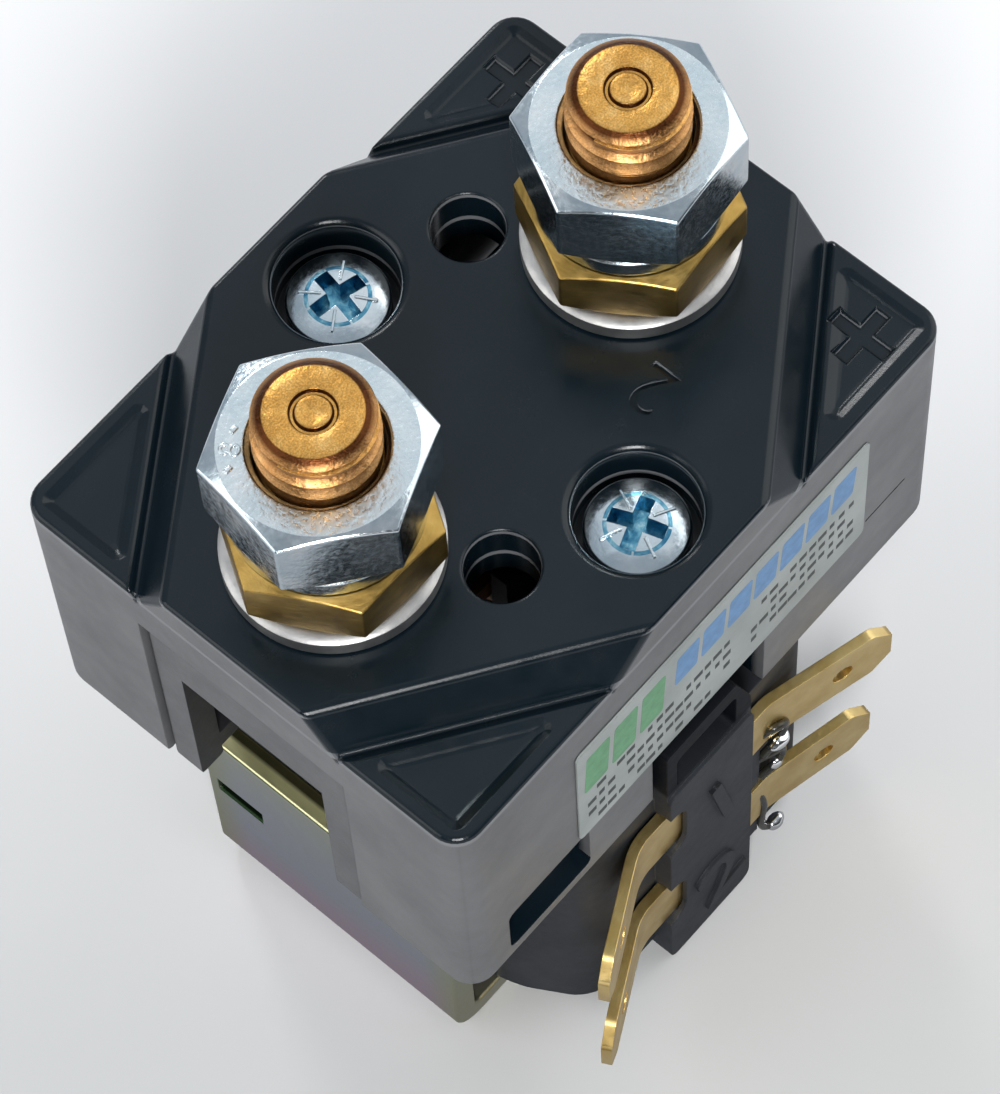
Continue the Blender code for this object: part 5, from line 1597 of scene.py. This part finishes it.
def mark_nut(index, turn):
    """Raised plain figure between two short bars on a nut's face."""
    top = Vector(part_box(f"steel_nut_{index}")[1]).z
    matrix = Matrix.Translation((*NUT_MARK_AT, top - 0.02 * MM)) @ Matrix.Rotation(turn, 4, "Z")
    marks = [place_digit(digit_solid("8", 1.9 * MM, 0.1 * MM), matrix, PEENED)]
    side = Matrix.Rotation(turn, 3, "Z")
    for step in (-1.35 * MM, 1.35 * MM):
        at = Vector((*NUT_MARK_AT, top)) + side @ Vector((step, 0.0, 0.0))
        low = at - Vector((0.28 * MM, 0.16 * MM, 0.02 * MM))
        high = at + Vector((0.28 * MM, 0.16 * MM, 0.09 * MM))
        marks.append(block("bar", low, high, PEENED, edge=0.04 * MM, steps=2))
    for mark in marks:
        settle(mark, 35.0, weighted=False)
    return marks


def make_nuts():
    for index in (1, 2):
        brass = hex_nut("brass_nut", index, BRASS_NUT_TURN[index - 1], BRASS, BRASS)
        dress(brass, "housing", "brass", f"brass_nut_{index}")
        steel = hex_nut("steel_nut", index, STEEL_NUT_TURN[index - 1], ZINC, PEENED)
        if index == 1:
            merge(steel, *mark_nut(index, math.radians(35)))
        dress(steel, "housing", "blue_zinc", f"steel_nut_{index}")


def make_washers():
    for index in (1, 2):
        x = STUD_X * (-1 if index == 1 else 1)
        low, high = (Vector(p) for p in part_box(f"plain_washer_{index}"))
        foot, top = low.z, high.z
        inner, outer = 4.3 * MM, high.x - x - 0.2 * MM
        e = 0.3 * MM
        section = [
            (inner, foot),
            (inner, top - 0.1 * MM),
            (inner + 0.1 * MM, top),
            (outer - 0.8 * MM, top),
        ]
        section += [
            (outer - 0.3 * MM, top - 0.07 * MM),
            (outer, top - e),
            (outer, foot + 0.1 * MM),
            (outer - 0.1 * MM, foot),
        ]
        washer = lathe(
            f"plain_washer_{index}_ring",
            section,
            at=(x, 0.0),
            steps=128,
            material=WASHER,
            ring=True,
        )
        settle(washer, 30.0, weighted=False)
        dress(washer, "housing", "washer_steel", f"plain_washer_{index}")
        make_spring_washer(index, x)


def make_spring_washer(index, x):
    """Split ring whose ends stand a little apart."""
    low, high = (Vector(p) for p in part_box(f"spring_washer_{index}"))
    foot, top = low.z, high.z
    inner, outer = 4.35 * MM, high.x - x
    thick = top - foot - 0.3 * MM
    e = 0.18 * MM
    section = [(inner, e), (inner + e, 0.0), (outer - e, 0.0), (outer, e)]
    section += [(outer, thick - e), (outer - e, thick), (inner + e, thick), (inner, thick - e)]
    rows = []
    count = 120
    start, sweep = math.radians(SPLIT_AT[index - 1] + 5), math.radians(350)
    for k in range(count + 1):
        a = start + sweep * k / count
        lift = 0.3 * MM * k / count
        rows.append([(x + r * math.cos(a), r * math.sin(a), foot + h + lift) for r, h in section])
    ring = loft(f"spring_washer_{index}_ring", rows, ZINC)
    settle(ring, 35.0, weighted=False)
    dress(ring, "housing", "blue_zinc", f"spring_washer_{index}")


def make_screws():
    """Domed heads with a cross recess and four fine ticks between its arms."""
    for index, side in ((1, -1), (2, 1)):
        low, high = (Vector(p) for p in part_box(f"cover_screw_{index}"))
        y = side * SCREW_Y
        foot, top = low.z, high.z - 0.15 * MM
        seat = COVER_TOP - COUNTERBORE_DEPTH + 0.2 * MM
        radius, crown = SCREW_HEAD_RADIUS, SCREW_DOME
        sphere = (radius**2 + crown**2) / (2 * crown)
        profile = []
        for k in range(13):
            r = (radius - 0.15 * MM) * k / 12
            profile.append((r, top - sphere + math.sqrt(sphere**2 - r**2)))
        profile += [
            (radius, profile[-1][1] - 0.2 * MM),
            (radius, seat + 0.1 * MM),
            (radius - 0.1 * MM, seat),
            (1.75 * MM, seat),
            (1.75 * MM, foot + 0.3 * MM),
            (1.45 * MM, foot),
            (0.0, foot),
        ]
        screw = lathe(f"cover_screw_{index}_turned", profile, at=(0.0, y), steps=96, material=ZINC)
        rows = []
        turn = Matrix.Rotation(math.radians(SCREW_TURN[index - 1]), 3, "Z")
        for z, arm, half in (
            (top + 0.3 * MM, 2.1 * MM, 0.55 * MM),
            (top - 1.4 * MM, 1.5 * MM, 0.42 * MM),
        ):
            row = []
            for px, py in cross_outline((0.0, 0.0), arm, half):
                p = turn @ Vector((px, py, 0.0))
                row.append((p.x, p.y + y, z))
            rows.append(row)
        cut(screw, loft("recess", rows))
        for k in range(4):
            bm = bmesh.new()
            bmesh.ops.create_cube(bm, size=1.0)
            bmesh.ops.scale(bm, vec=(1.5 * MM, 0.17 * MM, 0.5 * MM), verts=bm.verts)
            lean = Matrix.Rotation(math.radians(6), 4, "Y")
            lift = Matrix.Translation((1.85 * MM, 0.0, top - 0.31 * MM))
            way = Matrix.Rotation(math.radians(SCREW_TURN[index - 1] + 45 + 90 * k), 4, "Z")
            spot = Matrix.Translation((0.0, y, 0.0))
            bmesh.ops.transform(bm, matrix=spot @ way @ lift @ lean, verts=bm.verts)
            cut(screw, from_bmesh("tick", bm), "UNION")
        settle(screw, 35.0, weighted=False)
        screw.data.materials.append(RECESS)
        for poly in screw.data.polygons:
            spread = math.hypot(poly.center.x, poly.center.y - y)
            if spread < 2.1 * MM and top - 1.6 * MM < poly.center.z < top - 0.2 * MM:
                poly.material_index = 1
        dress(screw, "housing", "blue_zinc", f"cover_screw_{index}")
        clear_cutters()


# Label


def wall_place(x, z, lift):
    """From a flat layout to the -Y wall: layout X along the wall, layout Y up."""
    spot = Matrix.Translation((x, -COVER_HALF_Y - 0.05 * MM - lift, z))
    return spot @ Matrix.Rotation(math.radians(90), 4, "X")


def make_label(rows):
    """Foil with a green and a blue field and rows of small grey bars."""
    low, high = (Vector(p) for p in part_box("label"))
    thick = high.y - low.y
    outline = rounded_loop(
        [Vector(p) for p in ((low.x, low.z), (high.x, low.z), (high.x, high.z), (low.x, high.z))],
        0.5 * MM,
    )
    foil = upright("label_sheet", [(p.x, p.y) for p in outline], low.y, high.y, FOIL)
    settle(foil, 35.0)
    pieces = []
    for name, spots, colour in (
        ("green_field", GREEN_FIELD, GREEN_INK),
        ("blue_field", BLUE_FIELD, BLUE_INK),
    ):
        for x0, z0, x1, z1, lean in spots:
            shape = [(x0, z0), (x1, z0), (x1 + lean, z1), (x0 + lean, z1)]
            loop = rounded_loop([Vector((px * MM, pz * MM)) for px, pz in shape], 0.3 * MM)
            field = upright(
                name,
                [(p.x, p.y) for p in loop],
                low.y - 0.012 * MM,
                low.y + 0.02 * MM,
                colour,
            )
            settle(field, 35.0)
            pieces.append(field)
    for x, z, length, height, bars, lines, bar, line, kept, seed in BAR_BLOCKS:
        values = {
            "Length": length * MM,
            "Height": height * MM,
            "Bars": bars,
            "Rows": lines,
            "Bar": bar * MM,
            "Line": line * MM,
            "Kept": kept,
            "Seed": seed,
            "Material": GREY_INK,
        }
        printed = grow("label_bars", rows, values)
        printed.matrix_world = wall_place(x * MM, z * MM, thick)
        bpy.context.view_layer.update()
        settle(printed, 35.0, weighted=False)
        pieces.append(printed)
    merge(foil, *pieces)
    dress(foil, "housing", "label_foil", "label")


# Stage, light and camera


def make_stage():
    """Pale table top; mirrors see it brighter than the camera does."""
    bm = bmesh.new()
    bmesh.ops.create_grid(bm, x_segments=1, y_segments=1, size=3.0)
    floor = from_bmesh("table", bm)
    for poly in floor.data.polygons:
        poly.use_smooth = False
    f = Finish("pale_table").set(roughness=0.8)
    f.shader.inputs["Specular IOR Level"].default_value = 0.2
    # Painted light fall-off: the table's colour is lighter far from the camera and darker near it.
    along = f.node("ShaderNodeMapping", Vector=f.place)
    along.inputs["Rotation"].default_value = (0.0, 0.0, math.radians(-43.0))
    split = f.node("ShaderNodeSeparateXYZ", Vector=along.outputs[0])
    depth = f.span(split.outputs[0], 0.0, 1.0, -0.05, 0.09)
    f.colour(f.ramp(depth, (0.0, (0.455, 0.46, 0.455)), (1.0, (0.80, 0.80, 0.81))))
    f.rough(f.span(f.noise(0.5), 0.7, 0.85))
    path = f.tree.nodes.new("ShaderNodeLightPath")
    glow = f.tree.nodes.new("ShaderNodeEmission")
    glow.inputs["Color"].default_value = (0.93, 0.95, 1.0, 1.0)
    # Painted shadow: for reflections the table's glow drops to TABLE_SHADE near the object.
    middle = f.node("ShaderNodeVectorMath", Vector=f.place)
    middle.operation = "LENGTH"
    spread = f.span(middle.outputs["Value"], TABLE_SHADE, TABLE_GLOW, 0.024, 0.10)
    f.feed(glow.inputs["Strength"], spread)
    either = f.maths("MAXIMUM", path.outputs["Is Glossy Ray"], path.outputs["Is Transmission Ray"])
    mix = f.tree.nodes.new("ShaderNodeMixShader")
    out = f.tree.nodes["Material Output"]
    f.tree.links.new(either, mix.inputs[0])
    f.tree.links.new(f.shader.outputs[0], mix.inputs[1])
    f.tree.links.new(glow.outputs[0], mix.inputs[2])
    f.tree.links.new(mix.outputs[0], out.inputs["Surface"])
    floor.data.materials.append(f.material)


def make_world():
    """Studio that is bright overhead and behind the object, dark behind the camera."""
    world = bpy.data.worlds.new("studio")
    world.use_nodes = True
    tree = world.node_tree
    sky = tree.nodes["Background"]
    place = tree.nodes.new("ShaderNodeTexCoord")
    toward = tree.nodes.new("ShaderNodeVectorMath")
    toward.operation = "DOT_PRODUCT"
    toward.inputs[1].default_value = Vector((0.42, 0.42, 0.80)).normalized()
    tree.links.new(place.outputs["Generated"], toward.inputs[0])
    ramp = tree.nodes.new("ShaderNodeValToRGB")
    elements = ramp.color_ramp.elements
    elements[0].position = 0.0
    elements[0].color = (0.06, 0.065, 0.075, 1.0)
    elements[1].position = 1.0
    elements[1].color = (0.74, 0.81, 0.90, 1.0)
    middle = elements.new(0.55)
    middle.color = (0.55, 0.59, 0.65, 1.0)
    tree.links.new(toward.outputs["Value"], ramp.inputs[0])
    tree.links.new(ramp.outputs[0], sky.inputs[0])
    sky.inputs[1].default_value = STUDIO_LEVEL
    bpy.context.scene.world = world


def area_light(name, toward, distance, width, height, power, colour=(1.0, 1.0, 1.0)):
    """Soft box that looks at the object from a direction."""
    data = bpy.data.lights.new(name, "AREA")
    data.shape = "RECTANGLE"
    data.size = width
    data.size_y = height
    data.energy = power
    data.color = colour
    light = bpy.data.objects.new(name, data)
    bpy.context.scene.collection.objects.link(light)
    way = Vector(toward).normalized()
    light.location = Vector((0.0, 0.0, 0.045)) + way * distance
    light.rotation_euler = way.to_track_quat("Z", "Y").to_euler()
    return light


def make_lights():
    area_light("back_softbox", (0.35, 0.30, 0.89), 1.0, 0.9, 0.9, 0.9)
    area_light("front_softbox", (-0.52, -0.52, 0.66), 0.7, 0.20, 0.20, 4.4)
    area_light("rim_softbox", (0.36, 0.75, 0.52), 0.9, 0.16, 0.16, 1.7)
    area_light("left_softbox", (-0.8, 0.55, 0.65), 0.9, 0.70, 0.70, 3.4, (1.0, 0.995, 0.985))
    area_light("right_softbox", (0.9, -0.45, 0.6), 0.9, 0.90, 0.90, 4.0, (1.0, 0.99, 0.97))


def make_camera():
    data = bpy.data.cameras.new("camera")
    data.lens = CAMERA_LENS
    data.sensor_width = 36.0
    data.sensor_fit = "AUTO"
    data.shift_x, data.shift_y = CAMERA_SHIFT
    data.clip_start = 0.01
    data.clip_end = 20.0
    camera = bpy.data.objects.new("camera", data)
    bpy.context.scene.collection.objects.link(camera)
    camera.location = CAMERA_AT
    camera.rotation_mode = "QUATERNION"
    camera.rotation_quaternion = CAMERA_TURN
    bpy.context.scene.camera = camera


finish_cad_nodes()
make_cover()
make_frame()
make_yoke()
make_coil_body()
make_terminal("coil_terminal_upper", 0)
make_terminal("coil_terminal_lower", 1)
make_solder()
helix = thread_tree()
for number in (1, 2):
    make_stud(number, helix)
make_nuts()
make_washers()
make_screws()
make_label(rows_tree())
make_stage()
make_world()
make_lights()
make_camera()
bpy.context.scene.view_settings.view_transform = "Standard"
